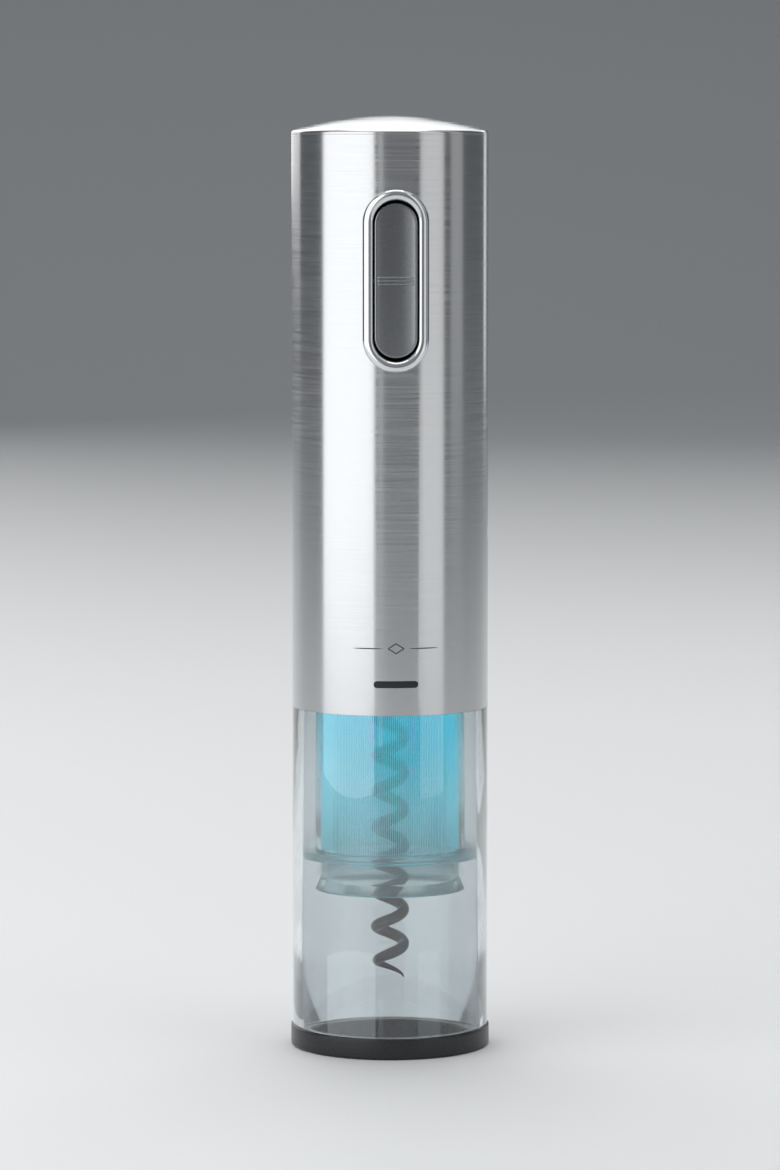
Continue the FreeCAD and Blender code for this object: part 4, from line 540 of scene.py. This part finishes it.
def stroke(along, up, width, closed):
    # a flat ribbon along (along, up) on the body: the angle round Z is along / radius, and its section is a
    # thin rectangle whose width may shrink to nothing at the ends
    path = np.stack([along, up], -1)
    ahead = np.roll(path, -1, 0) - np.roll(path, 1, 0) if closed else np.gradient(path, axis=0)
    ahead /= np.linalg.norm(ahead, axis=1)[:, None]
    normal = np.stack([-ahead[:, 1], ahead[:, 0]], -1)
    side = np.array([-0.5, 0.5, 0.5, -0.5])
    lift = np.array([mark["sunk"], mark["sunk"], 1, 1]) * mark["proud"]
    flat = path[:, None] + normal[:, None] * side[None, :, None] * width[:, None, None]
    radius = mark["bodyRadius"] + lift[None] + 0 * flat[..., 0]
    angle = flat[..., 0] / mark["bodyRadius"]
    return np.stack([radius * np.sin(angle), -radius * np.cos(angle), flat[..., 1] + mark["height"]], -1)


markParts = []
for direction in (-1, 1):
    run = np.linspace(mark["lineStart"], mark["lineEnd"], mark["lineSteps"])
    taper = mark["stroke"] * np.sin(np.linspace(0, math.pi, mark["lineSteps"])) ** mark["lineTaper"]
    markParts.append(closedShell(stroke(direction * run, 0 * run, taper, False), False, True))
corner = np.linspace(0, 4, mark["lozengeSteps"], endpoint=False)
lozengeX = mark["lozengeWide"] * np.interp(corner, [0, 1, 2, 3, 4], [1, 0, -1, 0, 1])
lozengeZ = mark["lozengeHigh"] * np.interp(corner, [0, 1, 2, 3, 4], [0, 1, 0, -1, 0])
markParts.append(closedShell(stroke(lozengeX, lozengeZ, mark["stroke"] + 0 * corner, True)))
makePiece("laserMark", markParts, "laser_mark", "housing")
print("mark made")

# floor, in metres: a disc that curves up far away, so that no horizon shows; its colour holds a painted pool
# of light: pale round the object, with painted shade darkening smoothly away from it
floorSize = dict(flat=2.4, radius=7.0, rise=1.6, firstRing=0.2, rings=48, steps=96)
# pale and dark are painted light and painted shade: pale under the object, dark far away from it
floorLook = dict(pale="#DFE0E0", palest="#E4E5E5", dark="#989A9C", paintedPoolUntil=0.5, paintedShadeFrom=2.6,
                 grain=900.0, rough=0.6, gloss=0.25)  # the paint's grain is in cells a metre


def floorBowl():
    # rings round Z: flat near the object, then the height is rise times the square of the way to the rim
    rings = np.linspace(floorSize["firstRing"], floorSize["radius"], floorSize["rings"])
    reach = np.concatenate([[0.0], rings])
    turn = np.linspace(0, fullTurn, floorSize["steps"], endpoint=False)
    past = np.clip((reach - floorSize["flat"]) / (floorSize["radius"] - floorSize["flat"]), 0, 1)
    x, y = reach[:, None] * np.cos(turn), reach[:, None] * np.sin(turn)
    return np.stack([x, y, floorSize["rise"] * past[:, None] ** 2 + 0 * x], -1)


floorPoints = floorBowl()
floorFaces = gridFaces(*floorPoints.shape[:2], False, True)
floorMesh = bpy.data.meshes.new("floor")
floorMesh.from_pydata(floorPoints.reshape(-1, 3).tolist(), [], floorFaces.tolist())
floorMesh.polygons.foreach_set("use_smooth", np.ones(len(floorMesh.polygons), bool))
floor = bpy.data.objects.new("floor", floorMesh)
bpy.context.scene.collection.objects.link(floor)


def floorPaintWithPaintedFalloff():
    # matt paint with a fine grain, blended from pale to dark by the distance from the object: a painted pool
    # of light fading to painted shade
    paint = bpy.data.materials.new("Matt board with painted light falloff")
    paint.use_nodes = True
    tree = paint.node_tree
    tree.nodes.clear()
    place = addNode(tree, "ShaderNodeTexCoord").outputs["Object"]
    grain = addNode(tree, "ShaderNodeTexNoise", inputs={
        "Vector": place, "Scale": floorLook["grain"]}).outputs["Fac"]
    pale = addNode(tree, "ShaderNodeMix", {"data_type": "RGBA"}, {
        "Factor": grain, 6: linear(floorLook["pale"]), 7: linear(floorLook["palest"])}).outputs[2]
    away = addNode(tree, "ShaderNodeVectorMath", {"operation": "LENGTH"}, {0: place}).outputs["Value"]
    # painted light falloff: the share of painted shade grows with the distance from the object
    share = addNode(tree, "ShaderNodeMapRange", {"interpolation_type": "SMOOTHSTEP"}, {
        "Value": away, "From Min": floorLook["paintedPoolUntil"],
        "From Max": floorLook["paintedShadeFrom"]}).outputs["Result"]
    colour = addNode(tree, "ShaderNodeMix", {"data_type": "RGBA"}, {
        "Factor": share, 6: pale, 7: linear(floorLook["dark"])}).outputs[2]
    shader = addNode(tree, "ShaderNodeBsdfPrincipled", inputs={
        "Base Color": colour, "Roughness": floorLook["rough"], "Specular IOR Level": floorLook["gloss"]})
    addNode(tree, "ShaderNodeOutputMaterial", inputs={"Surface": shader.outputs["BSDF"]})
    return paint


floorMesh.materials.append(floorPaintWithPaintedFalloff())
print("floor made")

# studio: even grey surroundings, and soft boxes placed by their angle to the right of the camera
viewTurn = -3.5  # camera stands this far round from straight in front, in degrees
surround = dict(colour="#7F8285", strength=0.8)
world = bpy.data.worlds.new("studio")
world.use_nodes = True
background = world.node_tree.nodes["Background"]
background.inputs["Color"].default_value = linear(surround["colour"])
background.inputs["Strength"].default_value = surround["strength"]
bpy.context.scene.world = world


def areaLight(name, wide, high, power, place, turn):
    # a soft rectangular light that the camera doesn't see
    data = bpy.data.lights.new(name, "AREA")
    data.shape = "RECTANGLE"
    data.size, data.size_y = wide, high
    data.energy = power
    light = bpy.data.objects.new(name, data)
    bpy.context.scene.collection.objects.link(light)
    light.location, light.rotation_euler = place, turn
    light.visible_camera = False


softBoxes = {
    # name: degrees to the right of the camera, distance, low edge, high edge, width, power
    "leftBox": (-51, 0.85, 0.0, 0.9, 1.1, 4.6),
    "leftFeather": (-11, 1.3, 0.05, 1.15, 0.12, 0.2),
    "frontFill": (10, 1.3, 0.1, 1.1, 0.95, 0.3),
    "rightBox": (50, 0.85, 0.0, 0.9, 0.45, 0.86),
    "rightFeather": (84, 1.0, 0.1, 1.1, 0.33, 0.32),
    "leftRim": (-152, 2.4, 0.18, 2.0, 1.94, 12.0),
    "rightRim": (147, 1.3, 0.1, 1.1, 0.22, 0.55),
    "skyBox": (180, 2.4, 0.84, 2.6, 3.6, 18.0),
}
for name, (degrees, distance, low, high, width, power) in softBoxes.items():
    angle = math.radians(-90 + viewTurn + degrees)
    place = (distance * math.cos(angle), distance * math.sin(angle), (low + high) / 2)
    areaLight(name, width, high - low, power, place, (math.pi / 2, 0, angle + math.pi / 2))

overhead = {
    # name: place along Y, height, side, power
    "topBox": (0.15, 1.5, 1.0, 6.5),
    "ceiling": (0.0, 3.6, 6.0, 60.0),
    "backWash": (3.6, 2.4, 3.0, 20.0),
}
for name, (along, height, side, power) in overhead.items():
    areaLight(name, side, side, power, (0, along, height), (0, 0, 0))

# camera: eye level with the top rim, a long lens
eye = dict(distance=1.19, height=0.223, aim=0.1135, lens=150.0, sensor=36.0)
lightBounces = 24  # enough for light to pass every wall of the clear pieces and come back
cameraData = bpy.data.cameras.new("camera")
cameraData.lens = eye["lens"]
cameraData.sensor_width = eye["sensor"]
camera = bpy.data.objects.new("camera", cameraData)
bpy.context.scene.collection.objects.link(camera)
eyeAngle = math.radians(-90 + viewTurn)
camera.location = (eye["distance"] * math.cos(eyeAngle), eye["distance"] * math.sin(eyeAngle), eye["height"])
tilt = math.atan2(eye["height"] - eye["aim"], eye["distance"])
camera.rotation_euler = (math.pi / 2 - tilt, 0, eyeAngle + math.pi / 2)
bpy.context.scene.camera = camera
bpy.context.scene.view_settings.view_transform = "Standard"
bpy.context.scene.cycles.max_bounces = lightBounces
bpy.context.scene.cycles.transmission_bounces = lightBounces
print("studio ready")
